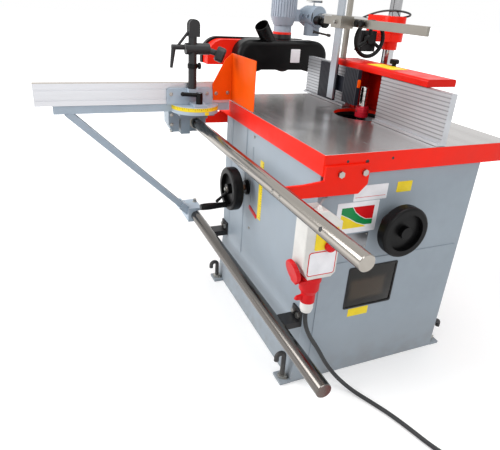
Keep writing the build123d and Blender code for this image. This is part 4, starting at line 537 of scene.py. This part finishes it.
# Window in the side panel. A black rubber gasket clipped on the edge of the opening holds a smoke-brown
# clear sheet, whose colour carries a painted view of a lit brown block behind it.
window_middle, window_width, window_height = (-0.0575, 0.372), 0.199, 0.164
lip = 0.003
outer_width, outer_height = window_width + 2 * lip, window_height + 2 * lip
to_middle = Matrix.Translation((0, -window_middle[0], -window_middle[1]))
gasket = bmesh.new()
loop = [gasket.verts.new((panel_face, window_middle[0] + u, window_middle[1] + v))
        for u, v in rounded(outer_width, outer_height, 0.007)]
edges = [gasket.edges.new(pair) for pair in zip(loop, loop[1:] + loop[:1])]
inward = (1, (window_width - 2 * lip) / outer_width, (window_height - 2 * lip) / outer_height)
for lift, shrink in ((0.002, (1, 1, 1)), (0.0, inward), (-0.006, (1, 1, 1))):
    grown = bmesh.ops.extrude_edge_only(gasket, edges=edges)["geom"]
    verts = [part for part in grown if isinstance(part, bmesh.types.BMVert)]
    edges = [part for part in grown if isinstance(part, bmesh.types.BMEdge)]
    bmesh.ops.translate(gasket, vec=(lift, 0, 0), verts=verts)
    bmesh.ops.scale(gasket, vec=shrink, verts=verts, space=to_middle)
gasket_rubber = finished("gasket_rubber", moulded_grain, srgb(20, 20, 21), 0.55, 0.02, 0.2, specular=0.3)
finish_piece("window_gasket", gasket, gasket_rubber, "machine", 50)
smoke, tree, shader = new_material("smoke_sheet")
shader.inputs["IOR"].default_value = 1.4
shader.inputs["Specular IOR Level"].default_value = 0.25
shader.inputs["Transmission Weight"].default_value = 0.8
place = tree.nodes.new("ShaderNodeTexCoord").outputs["Object"]
tree.links.new(spread(tree, noise(tree, place, 14, 4), 0.02, 0.12), shader.inputs["Roughness"])
sides = split_place(tree)
# Painted light: a lighter brown patch in the sheet's colour stands in for a lit block inside the cabinet.
lit = spread(tree, sides[1], 0, 1, -0.148, -0.134)
for axis, low, high, start, end in ((1, 1, 0, -0.008, 0.010), (2, 0, 1, 0.316, 0.330), (2, 1, 0, 0.392, 0.412)):
    lit = sums(tree, "MULTIPLY", lit, spread(tree, sides[axis], low, high, start, end))
tree.links.new(blended(tree, lit, srgb(44, 38, 32), srgb(116, 98, 78)), shader.inputs["Base Color"])
sheet_thickness = 0.003
slab_piece("window_sheet", (panel_face - sheet_thickness, *window_middle), side_across, side_up,
           rounded(window_width - 0.002, window_height - 0.002, 0.006), sheet_thickness, 0.0005, smoke, "machine")


# Table. A cast-iron plate with a ground top and a hole for the spindle, bolted to the cabinet; its rim is
# painted bright red, and its top carries painted highlights, soft glints where the grinding whirls catch the light.
machine_red = srgb(240, 32, 8)
red_paint = finished("red_paint", paint_film, machine_red, 0.36, 0.1, 0.05, specular=0.16)
table_iron = finished("table_iron", paint_film, machine_red, 0.36, 0.1, 0.05, specular=0.2)
ground_level, lip_level = 0.8695, 0.858
spindle_x, spindle_y, hole_radius = -0.046, 0.117, 0.109


# Painted shade: the wall of the spindle hole, below the table's lip, is coloured near black.
def painted_hole_shade(tree, x, y, z):
    across = sums(tree, "POWER", sums(tree, "SUBTRACT", x, spindle_x), 2)
    along = sums(tree, "POWER", sums(tree, "SUBTRACT", y, spindle_y), 2)
    near = sums(tree, "LESS_THAN", sums(tree, "ADD", across, along), (hole_radius + 0.001) ** 2)
    return sums(tree, "MULTIPLY", near, sums(tree, "LESS_THAN", z, lip_level))


second_finish(table_iron, painted_hole_shade, paint_film, srgb(26, 22, 20), 0.6, 0.2)
second_finish(table_iron, lambda tree, x, y, z: sums(tree, "GREATER_THAN", z, ground_level),
              machined_face, srgb(184, 181, 179), 0.22, 0.12, 0.9, (5, 160, 40))
# Painted highlights: two soft bow-tie glints of lighter colour fan out from these centres on the ground top.
glint_centres = (((0.136, -0.224), (-0.39, 0.92)), ((0.030, -0.110), (-0.60, 0.80)))


def painted_grinding_glints(tree, x, y, z):
    marks = sums(tree, "MULTIPLY", z, 0.0)
    for middle, way in glint_centres:
        across, along = sums(tree, "SUBTRACT", x, middle[0]), sums(tree, "SUBTRACT", y, middle[1])
        reach = sums(tree, "ADD", sums(tree, "POWER", across, 2), sums(tree, "POWER", along, 2))
        lean = sums(tree, "ADD", sums(tree, "MULTIPLY", across, way[0]), sums(tree, "MULTIPLY", along, way[1]))
        fan = sums(tree, "DIVIDE", sums(tree, "POWER", lean, 2), sums(tree, "ADD", reach, 0.0003))
        fade = spread(tree, reach, 0.75, 0.0, 0.0, 0.030)
        marks = sums(tree, "MAXIMUM", marks, sums(tree, "MULTIPLY", sums(tree, "POWER", fan, 3), fade))
    return sums(tree, "MULTIPLY", marks, sums(tree, "GREATER_THAN", z, ground_level))


tree = table_iron.node_tree
painted_glint_share = painted_grinding_glints(tree, *split_place(tree))
top_colour = tree.nodes["Principled BSDF"].inputs["Base Color"]
tree.links.new(blended(tree, painted_glint_share, top_colour.links[0].from_socket, srgb(236, 235, 234)), top_colour)
dress(table_iron, "table")
table_right, table_top = 0.413, 0.870
bores = bmesh.new()
for y, z, radius in ((-0.244, 0.846, 0.0045), (-0.174, 0.841, 0.0064), (-0.080, 0.846, 0.0045)):
    turned(bores, (table_right, y, z), (1, 0, 0),
           [(radius, 0), (radius - 0.0004, 0.0006), (radius - 0.0014, 0.0006), (radius - 0.0018, 0.0001),
            (0, 0.0001)], 20)
finish_piece("apron_bores", bores, printed_black, "machine")
marks = bmesh.new()
for step in range(4):
    slab(marks, (-0.192, 0.020 + 0.013 * step, table_top), (0, 1, 0), (-1, 0, 0), rounded(0.009, 0.008, 0.002, 2),
         0.0002)
finish_piece("engraved_marks", marks, printed_black, "machine")


# Brackets and bars. Red plate brackets on the table's ends carry a polished round bar that the carriage
# slides on; black cast brackets low on the cabinet carry a duller bar for the strut's foot.
polished_bar = finished("polished_bar", machined_face, srgb(162, 157, 150), 0.15, 0.3, 0.02, 1.0, (3, 60, 60))
dark_bar = finished("dark_bar", machined_face, srgb(104, 101, 98), 0.2, 0.4, 0.03, 1.0, (4, 60, 60))
black_paint = finished("black_paint", paint_film, srgb(30, 30, 32), 0.4, 0.2, 0.15, specular=0.35)
dress(red_paint, "bar_brackets")
bar_y, bar_z, bar_radius = -0.455, 0.767, 0.022
bar_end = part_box("upper_bar")[1][0]


# Painted shade: the polished bar's underside and back flank are coloured a dark brown-grey, all along it except its
# end face.
def painted_shade_flank(tree, x, y, z):
    under = spread(tree, z, 1, 0, bar_z - 0.012, bar_z + 0.001)
    flank = sums(tree, "MAXIMUM", under, spread(tree, y, 0, 1, bar_y + 0.006, bar_y + 0.017))
    return sums(tree, "MULTIPLY", flank, sums(tree, "LESS_THAN", x, bar_end - 0.0015))


second_finish(polished_bar, painted_shade_flank, machined_face, srgb(62, 55, 50), 0.24, 0.3, 1.0, (3, 60, 60))
dress(polished_bar, "upper_bar")
dress(dark_bar, "lower_bar")
dress(black_paint, "lower_brackets")
dress(zinc, "frame_bolts")
bar_face = bar_y - bar_radius + 0.0008
bar_screws, bar_bores = bmesh.new(), bmesh.new()
for x in (0.396, 0.441):
    turned(bar_screws, (x, bar_face, bar_z), (0, -1, 0),
           [(0.0062, 0), (0.0062, 0.0010), (0.0046, 0.0018), (0.003, 0.0018), (0.0026, 0.0004), (0, 0.0004)], 24)
    turned(bar_bores, (x, bar_face, bar_z), (0, -1, 0),
           [(0.0075, 0), (0.0072, 0.0006), (0.0066, 0.0006), (0.0064, 0.0002), (0, 0.0002)], 24)
turned(bar_bores, (0.663, bar_y - bar_radius * 0.94, bar_z + bar_radius * 0.34), (0, -0.94, 0.34),
       [(0.0068, -0.0006), (0.0062, 0.0005), (0.0052, 0.0005), (0.0048, 0.0001), (0, 0.0001)], 24)
finish_piece("bar_set_screws", bar_screws, zinc, "machine", 30)
finish_piece("bar_bores", bar_bores, printed_black, "machine", 30)


# Switch box and power inlet. A cream moulded box beside the table with a red stop button on a yellow
# plate, and under it a red five-pin inlet with its lid, connector and white gland.
cream = finished("cream_plastic", moulded_grain, srgb(216, 215, 211), 0.45, 0.03, 0.1, specular=0.35)
white_plastic = finished("white_plastic", moulded_grain, srgb(228, 226, 223), 0.4, 0.02, 0.12, specular=0.35)
dress(cream, "switch_box")
dress(red_plastic, "stop_button", "inlet_socket", "inlet_lid", "mains_connector")
dress(white_plastic, "cord_gland")
slab_piece("connector_catch", (0.426, -0.366, 0.404), (0, 1, 0), (0, 0, 1),
           [(0.018, -0.011), (-0.008, -0.008), (-0.016, -0.004), (-0.010, 0.006), (0.018, 0.011)], 0.009, 0.0015,
           red_plastic, "machine", 40)
box_face, box_top = 0.465, 0.717
slab_piece("stop_backplate", (box_face, -0.315, 0.626), side_across, side_up, rounded(0.078, 0.072, 0.006), 0.002,
           0.0008, scale_yellow, "machine")
label_place = (box_face, -0.321, 0.543)
slab_piece("blank_label_border", label_place, side_across, side_up, rounded(0.098, 0.084, 0.009), 0.0005, 0,
           red_plastic, "machine")
slab_piece("blank_label", label_place, side_across, side_up, rounded(0.092, 0.078, 0.007), 0.0008, 0.0002,
           white_print, "machine")
lid_seam = bmesh.new()
seam_edge = [(0.0, 0.231), (0.066, 0.231), (0.122, 0.191), (0.122, 0.016), (0.106, 0.0)]
seam_corners = [Vector((0.430, -0.386 + u, 0.486 + v)) for u, v in seam_edge]
for first, second in zip(seam_corners, seam_corners[1:]):
    run = second - first
    slab(lid_seam, (first + second) / 2, run, (1, 0, 0), rounded(run.length, 0.0016, 0.0005, 1), 0.0002)
finish_piece("box_seam", lid_seam, printed_black, "machine")


# Control cable. A grey cable from a white screw gland on top of the switch box, under the table bracket
# and in through the cabinet's wall.
lean = Vector((-0.42, 0.52, 0.74)).normalized()
gland_foot = Vector((0.447, -0.346, box_top))
nut_foot = gland_foot - lean * 0.002
gland = bmesh.new()
turned(gland, gland_foot - Vector((0, 0, 0.001)), (0, 0, 1),
       [(0.0125, 0), (0.0125, 0.0035), (0.0105, 0.0045), (0, 0.0045)], 28)
turned(gland, nut_foot, lean, [(0.0100, 0), (0.0100, 0.007), (0.0090, 0.008), (0.0090, 0.010)], 6)
turned(gland, nut_foot, lean, [(0.0085, 0.008), (0.0085, 0.013), (0.0060, 0.016), (0.0038, 0.0165)], 28)
finish_piece("box_gland", gland, white_plastic, "machine", 35)
grey_lead = finished("grey_lead", moulded_grain, srgb(142, 144, 146), 0.5, 0.03, 0.15)
gland_tip = gland_foot + lean * 0.013
control_route = [gland_tip, gland_tip + lean * 0.012, Vector((0.418, -0.311, 0.7375)), Vector((0.393, -0.284, 0.733))]
control_lead = lead("control_lead", control_route, 0.007, grey_lead, "machine")


# Spindle unit. Under the table a cast guide carries the quill with its bearings, the arbor, the motor and
# its belt; the arbor stands up through the table with a red ring on its shoulder.
cast_iron = finished("cast_iron", paint_film, srgb(118, 122, 126), 0.55, 0.3, 0.5)
bright_steel = finished("bright_steel", machined_face, srgb(196, 194, 192), 0.18, 0.1, 0.06, 1.0, (10, 10, 420))
red_anodised = finished("red_anodised", machined_face, srgb(216, 34, 56), 0.26, 0.08, 0.06, 0.35, (10, 10, 420))
belt = finished("belt_rubber", moulded_grain, srgb(32, 31, 30), 0.7, 0.2, 0.4)
dress(cast_iron, "slideway", "quill")
dress(bright_steel, "spindle_bearings", "spindle", "motor_pulley", "lift_screw")
dress(red_anodised, "spindle_collar")
dark_steel = finished("dark_steel", machined_face, srgb(64, 62, 60), 0.35, 0.2, 0.05, 0.9, (10, 10, 420))
arbor_radius = 0.015
rings = bmesh.new()
for z in (0.924, 0.943, 0.962):
    turned(rings, (spindle_x, spindle_y, z), (0, 0, 1),
           [(arbor_radius - 0.0004, 0), (arbor_radius + 0.0003, 0.0004), (arbor_radius + 0.0003, 0.0018),
            (arbor_radius - 0.0004, 0.0022)], 48)
finish_piece("arbor_rings", rings, dark_steel, "spindle_rotor", 30)
grub = bmesh.new()
for bearing in (30, 150, 270):
    way = Vector((cos(radians(bearing)), sin(radians(bearing)), 0))
    turned(grub, Vector((spindle_x, spindle_y, 0.884)) + way * 0.0255, way,
           [(0.0042, 0), (0.0042, 0.001), (0.003, 0.0014), (0.0022, 0.0014), (0.002, 0.0004), (0, 0.0004)], 20)
finish_piece("collar_screws", grub, dark_steel, "spindle_rotor", 30)
dress(belt, "drive_belt")
dress(machine_grey, "drive_motor")


# Handwheels. Black moulded wheels on steel shafts with black flanges; the front one has a turning crank
# handle and lifts the spindle.
black_plastic = finished("black_plastic", moulded_grain, srgb(9, 9, 10), 0.34, 0.01, 0.15, specular=0.15)
brown_steel = finished("brown_steel", machined_face, srgb(126, 96, 78), 0.4, 0.3, 0.1, 0.9, (300, 200, 300))
dress(black_plastic, "front_handwheel", "crank_handle", "side_handwheel", "shaft_flanges")
dress(brown_steel, "front_shaft")
hub_x, hub_front, hub_z = -0.139, -0.411, 0.565
bolts("hub_bolt", "front_wheel", ((hub_x, hub_front, hub_z), (0, -1, 0), 0.013, 0.008))
lock = bmesh.new()
lock_root, lock_way = Vector((hub_x, hub_front + 0.004, hub_z - 0.012)), Vector((0, -0.76, -0.65)).normalized()
turned(lock, lock_root, lock_way, [(0.0075, 0), (0.0075, 0.006), (0.0055, 0.011), (0.0050, 0.030), (0.0062, 0.050),
                                   (0.0062, 0.057), (0.0045, 0.061), (0, 0.062)], 24)
finish_piece("hub_lock_lever", lock, black_plastic, "front_wheel", 40)


# Carriage. A grey-blue casting on two legs that slides on the upper bar, with a half disc for the mitre
# fence, a beam under the fence and a strut down to the lower bar.
pale_grey = finished("pale_grey", paint_film, srgb(166, 180, 193), 0.38, 0.2, 0.06, specular=0.4)
hammered_grey = finished("hammered_grey", paint_film, srgb(128, 142, 154), 0.34, 0.2, 0.5)
disc_bottom = 0.8385
second_finish(hammered_grey, lambda tree, x, y, z: sums(tree, "GREATER_THAN", z, disc_bottom),
              paint_film, srgb(172, 187, 200), 0.36, 0.2)
bush_steel = finished("bush_steel", machined_face, srgb(168, 166, 160), 0.3, 0.2, 0.05, 1.0, (300, 20, 20))
dress(hammered_grey, "carriage")
dress(pale_grey, "outrigger_beam", "fence_block")
strut_grey = finished("strut_grey", paint_film, srgb(166, 180, 193), 0.38, 0.2, 0.06, specular=0.4)
strut_root, strut_head = Vector((-0.628, -0.420, 0.256)), Vector((-0.348, -0.975, 0.845))
strut_way = (strut_head - strut_root).normalized()
strut_side = (Vector((1, 0, 0)) - strut_way * strut_way.x).normalized()
socket_length, channel_half = 0.098, 0.0065


# Painted shade: the strut's channel, past its socket, is coloured a dark grey-blue for the shade inside the groove.
def painted_channel_shade(tree, x, y, z):
    def measure(way):
        parts = [sums(tree, "MULTIPLY", value, share) for value, share in zip((x, y, z), way)]
        total = sums(tree, "ADD", sums(tree, "ADD", parts[0], parts[1]), parts[2])
        return sums(tree, "SUBTRACT", total, strut_root.dot(way))
    inside = sums(tree, "LESS_THAN", sums(tree, "ABSOLUTE", measure(strut_side), 0), channel_half)
    return sums(tree, "MULTIPLY", inside, sums(tree, "GREATER_THAN", measure(strut_way), socket_length))


second_finish(strut_grey, painted_channel_shade, paint_film, srgb(74, 84, 94), 0.5, 0.2)
dress(strut_grey, "support_strut")
dress(bush_steel, "carriage_bushes")
disc_middle, disc_radius = Vector((-0.332, -0.489, 0)), 0.094
band = bmesh.new()
band_profile = [(disc_radius - 0.0006, 0.8515), (disc_radius + 0.0006, 0.8519), (disc_radius + 0.0006, 0.8663),
                (disc_radius - 0.0006, 0.8667)]
rim = [band.verts.new(disc_middle + Vector((0, -radius, z))) for radius, z in band_profile]
edges = [band.edges.new(pair) for pair in zip(rim, rim[1:])]
bmesh.ops.spin(band, geom=rim + edges, cent=disc_middle, axis=(0, 0, 1), angle=pi, steps=60)
finish_piece("mitre_scale", band, scale_yellow, "carriage", 30)
ticks = bmesh.new()
for step in range(-16, 17):
    way = Vector((cos(radians(5 * step)), sin(radians(5 * step)), 0))
    length = 0.009 if step % 3 == 0 else 0.0055
    slab(ticks, disc_middle + way * (disc_radius + 0.0005) + Vector((0, 0, 0.8662 - length / 2)), (-way.y, way.x, 0),
         (0, 0, 1), rounded(0.0013, length, 0.0004, 1), 0.0003)
finish_piece("mitre_ticks", ticks, printed_black, "carriage")
way = Vector((cos(radians(14)), sin(radians(14)), 0))
slab_piece("mitre_pointer", disc_middle + way * (disc_radius - 0.0006) + Vector((0, 0, 0.8448)), (-way.y, way.x, 0),
           (0, 0, 1), rounded(0.017, 0.0115, 0.002), 0.0032, 0.001, scale_yellow, "carriage")
bolts("carriage_bolts", "carriage", ((-0.400, -0.566, 0.808), (1, 0, 0), 0.010, 0.006),
      ((-0.400, -0.566, 0.768), (1, 0, 0), 0.010, 0.006), ((-0.440, -0.557, 0.737), (0, 0, -1), 0.013, 0.012),
      ((-0.370, -0.4575, 0.838), (0, 0, 1), 0.010, 0.006))
bolts("strut_foot_bolt", "carriage", ((-0.652, -0.386, 0.297), (0, 0, 1), 0.016, 0.016))


# Mitre fence. An aluminium extrusion with an orange guard sheet at its table end, a black locking lever
# and a black clamp on a pillar.
aluminium = finished("aluminium", machined_face, srgb(200, 201, 205), 0.34, 0.06, 0.08, 0.8, (300, 10, 300))
fence_top = 0.9482
# Painted shade: the fence's top face is coloured a darker, browner grey than its sides.
second_finish(aluminium, lambda tree, x, y, z: sums(tree, "GREATER_THAN", z, fence_top),
              machined_face, srgb(176, 166, 154), 0.3, 0.1, 0.8, (300, 10, 300))
orange_sheet = finished("orange_sheet", paint_film, srgb(244, 86, 2), 0.42, 0.05, 0.04, specular=0.14)
dress(aluminium, "mitre_fence")
dress(orange_sheet, "fence_guard")
dress(black_plastic, "quadrant_lever")
dress(black_paint, "clamp_pillar", "clamp_lever", "pillar_clamp")
screw_places = ((-0.316, -0.588, 0.908), (-0.316, -0.442, 0.909), (-0.327, -0.400, 0.907), (-0.327, -0.350, 0.909))
bolts("fence_screws", "mitre", *[(screw_place, (1, 0, 0), 0.010, 0.006) for screw_place in screw_places])
pillar_x, pillar_y, pillar_radius = -0.310, -0.505, 0.016
stop_ring = bmesh.new()
turned(stop_ring, (pillar_x, pillar_y, 1.006), (0, 0, 1),
       [(pillar_radius + 0.0004, 0), (0.0180, 0), (0.0193, 0.0015), (0.0193, 0.0165), (0.0180, 0.018),
        (pillar_radius + 0.0004, 0.018)], 40)
turned(stop_ring, (pillar_x, pillar_y + 0.018, 1.015), (0, 1, 0),
       [(0.006, 0), (0.006, 0.004), (0.0115, 0.005), (0.0125, 0.0065), (0.0125, 0.0125), (0.0110, 0.014),
        (0, 0.0145)], 16)
finish_piece("pillar_stop_ring", stop_ring, black_plastic, "pillar_clamp", 35)


# Spindle fence. A red hood over the cutter with a ribbed aluminium plate on each side, and pressure shoes
# that hang from a post and a cross bar.
ribbed_aluminium = finished("ribbed_aluminium", machined_face, srgb(178, 180, 184), 0.36, 0.1, 0.08, 0.85,
                            (10, 300, 300))
beige_steel = finished("beige_steel", machined_face, srgb(142, 139, 132), 0.36, 0.25, 0.05, 0.85, (12, 200, 12))
shoe_grey = finished("shoe_grey", paint_film, srgb(24, 27, 36), 0.45, 0.08, 0.1, specular=0.3)
bar_front = 0.0605
second_finish(shoe_grey, lambda tree, x, y, z: sums(tree, "LESS_THAN", y, bar_front),
              machined_face, srgb(164, 170, 177), 0.3, 0.15, 0.85, (300, 300, 12))
hood_red = finished("hood_red", paint_film, srgb(214, 24, 8), 0.34, 0.1, 0.05, specular=0.16)
dress(hood_red, "fence_hood")
groove_start, groove_pitch, groove_half = 0.880, 0.154 / 12, 0.0022
right_front, left_step = 0.1026, 0.030


# Painted shade: each groove across the ribbed fence plates is coloured a darker grey than the ribs.
def painted_groove_shade(tree, x, y, z):
    turns = sums(tree, "ADD", sums(tree, "DIVIDE", sums(tree, "SUBTRACT", z, groove_start), groove_pitch), 0.5)
    off = sums(tree, "ABSOLUTE", sums(tree, "SUBTRACT", sums(tree, "FRACT", turns, 0), 0.5), 0)
    near = sums(tree, "LESS_THAN", off, groove_half / groove_pitch)
    front = sums(tree, "ADD", sums(tree, "MULTIPLY", sums(tree, "LESS_THAN", x, 0.0), left_step), right_front)
    high = sums(tree, "GREATER_THAN", z, groove_start + groove_pitch / 2)
    return sums(tree, "MULTIPLY", sums(tree, "MULTIPLY", near, high), sums(tree, "LESS_THAN", y, front))


second_finish(ribbed_aluminium, painted_groove_shade, machined_face, srgb(146, 147, 150), 0.42, 0.1, 0.85, (10, 300, 300))
dress(ribbed_aluminium, "left_fence_plate", "right_fence_plate")
dress(beige_steel, "pressure_bars")
dress(shoe_grey, "pressure_slide")
cover_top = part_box("fence_hood")[1][2]
slab_piece("cover_tag", (0.010, 0.158, cover_top), (1, 0, 0), (0, 1, 0), rounded(0.150, 0.075, 0.004), 0.0008, 0.0003,
           scale_yellow, "machine")
knobs = bmesh.new()
turned(knobs, (-0.010, 0.205, cover_top - 0.001), (0, 0, 1),
       [(0.009, 0), (0.008, 0.008), (0.016, 0.010), (0.018, 0.013), (0.018, 0.022), (0.015, 0.026), (0, 0.027)], 12)
cross_front, cross_z = 0.0975, 1.200
for x in (-0.118, -0.088):
    turned(knobs, (x, cross_front, cross_z), (0, -1, 0),
           [(0.006, 0), (0.006, 0.006), (0.012, 0.008), (0.0135, 0.010), (0.0135, 0.018), (0.011, 0.021),
            (0, 0.0215)], 12)
finish_piece("fence_knobs", knobs, black_plastic, "machine", 30)
bolts("bar_clamp_bolt", "machine", ((-0.195, 0.038, cross_z), (0, -1, 0), 0.013, 0.009))
slab_piece("shoe_pad", (-0.0275, 0.069, 0.992), (0, 1, 0), (0, 0, 1), rounded(0.013, 0.030, 0.003), 0.004, 0.0012,
           orange_sheet, "pressure_unit")


# Power feeder. A chromed column with a red sleeve and handwheel, a chromed arm, a grey finned motor and a
# red gear case with a black cover over three rubber rollers.
chrome = finished("chrome", machined_face, srgb(170, 170, 172), 0.1, 0.05, 0.03, 1.0, (40, 40, 40))
tyre = finished("tyre_rubber", moulded_grain, srgb(52, 50, 48), 0.75, 0.2, 0.5)
knuckle_arm = finished("knuckle_arm", machined_face, srgb(206, 205, 203), 0.1, 0.05, 0.03, 1.0, (40, 40, 40))
knuckle_end, knuckle_top = -0.706, 1.252


def on_knuckle(tree, x, y, z):
    return sums(tree, "MULTIPLY", sums(tree, "LESS_THAN", x, knuckle_end), sums(tree, "LESS_THAN", z, knuckle_top))


second_finish(knuckle_arm, on_knuckle, paint_film, srgb(150, 164, 178), 0.4, 0.2)
arm_way = Vector((0.978, 0.209, 0)).normalized()
arm_x, arm_y, arm_z, arm_radius, knob_end = -0.260, 0.365, 1.197, 0.0206, -0.660


def beside_arm(tree, x, y, z):
    across = sums(tree, "ADD", sums(tree, "MULTIPLY", sums(tree, "SUBTRACT", x, arm_x), 0.209),
                  sums(tree, "MULTIPLY", sums(tree, "SUBTRACT", y, arm_y), -0.978))
    rise = sums(tree, "SUBTRACT", z, arm_z)
    off = sums(tree, "ADD", sums(tree, "POWER", across, 2), sums(tree, "POWER", rise, 2))
    clear = sums(tree, "GREATER_THAN", off, arm_radius ** 2)
    knob = sums(tree, "MULTIPLY", sums(tree, "GREATER_THAN", x, knuckle_end), sums(tree, "LESS_THAN", x, knob_end))
    return sums(tree, "MULTIPLY", clear, knob)


second_finish(knuckle_arm, beside_arm, moulded_grain, srgb(16, 16, 17), 0.36, 0.03)
sleeve_red = finished("sleeve_red", paint_film, machine_red, 0.3, 0.1, 0.08, specular=0.2)
gear_box_back = 0.2622
second_finish(sleeve_red, lambda tree, x, y, z: sums(tree, "LESS_THAN", y, gear_box_back),
              paint_film, srgb(28, 28, 30), 0.36, 0.15)
motor_grey = finished("motor_grey", paint_film, srgb(160, 170, 183), 0.4, 0.15, 0.15, specular=0.4)
collar_top, ring_top = 1.108, 1.1185
second_finish(motor_grey, lambda tree, x, y, z: sums(tree, "LESS_THAN", z, ring_top),
              paint_film, machine_red, 0.3, 0.1)
second_finish(motor_grey, lambda tree, x, y, z: sums(tree, "LESS_THAN", z, collar_top),
              moulded_grain, srgb(26, 26, 27), 0.4, 0.05)
dress(chrome, "feeder_column")
dress(knuckle_arm, "feeder_arm")
dress(sleeve_red, "feeder_sleeve")
dress(red_paint, "feeder_head", "feeder_body")
dress(black_plastic, "feeder_handwheel", "feeder_cover")
dress(motor_grey, "feeder_motor")
dress(tyre, "feed_roller_1", "feed_roller_2", "feed_roller_3")
near_cover = -0.690
slab_piece("cover_blank_label", (near_cover, 0.141, 1.015), side_across, side_up, rounded(0.052, 0.064, 0.003),
           0.0008, 0.0003, white_print, "feeder_unit")
arm_knob = bmesh.new()
turned(arm_knob, (-0.676, 0.267, 1.174), arm_way,
       [(0.010, 0), (0.010, 0.006), (0.021, 0.008), (0.0235, 0.011), (0.0235, 0.026), (0.021, 0.030), (0.012, 0.032),
        (0.010, 0.030), (0, 0.030)], 14)
finish_piece("arm_knob", arm_knob, black_plastic, "feeder_arm", 30)
lever = bmesh.new()
lever_root, lever_way = Vector((-0.724, 0.246, 1.129)), Vector((0.30, 0.94, -0.15)).normalized()
turned(lever, lever_root, lever_way, [(0.0085, 0), (0.0085, 0.006), (0.0055, 0.009), (0.0050, 0.070), (0.0050, 0.072),
                                      (0.0072, 0.076), (0.0080, 0.086), (0.0065, 0.094), (0, 0.096)], 24)
finish_piece("knuckle_lever", lever, dark_steel, "feeder_arm", 40)
feeder_route = [(-0.432, 0.328, 1.214), (-0.395, 0.329, 1.226), (-0.335, 0.328, 1.240), (-0.270, 0.322, 1.249),
                (-0.213, 0.328, 1.252), (-0.186, 0.362, 1.249), (-0.196, 0.402, 1.240), (-0.228, 0.412, 1.231),
                (-0.250, 0.400, 1.226)]
feeder_lead = lead("feeder_lead", feeder_route, 0.008, black_rubber, "feeder_arm")


# Edges. Castings, plates and welded parts have their sharp edges broken with a file or in the mould, half a
# millimetre to two, so each catches a thin line of light.
for name, width in (("table", 0.0018), ("bar_brackets", 0.0012), ("fence_hood", 0.0012), ("carriage", 0.0015),
                    ("outrigger_beam", 0.0012), ("fence_block", 0.0012), ("pressure_bars", 0.0008),
                    ("lower_brackets", 0.001), ("base_plate", 0.001), ("feeder_head", 0.002)):
    weld = nodes[name].modifiers.new("join", "WELD")
    weld.merge_threshold = 0.00001
    broken = nodes[name].modifiers.new("broken_edge", "BEVEL")
    broken.width = width
    broken.segments = 2
    broken.limit_method = "ANGLE"
    broken.angle_limit = radians(50)
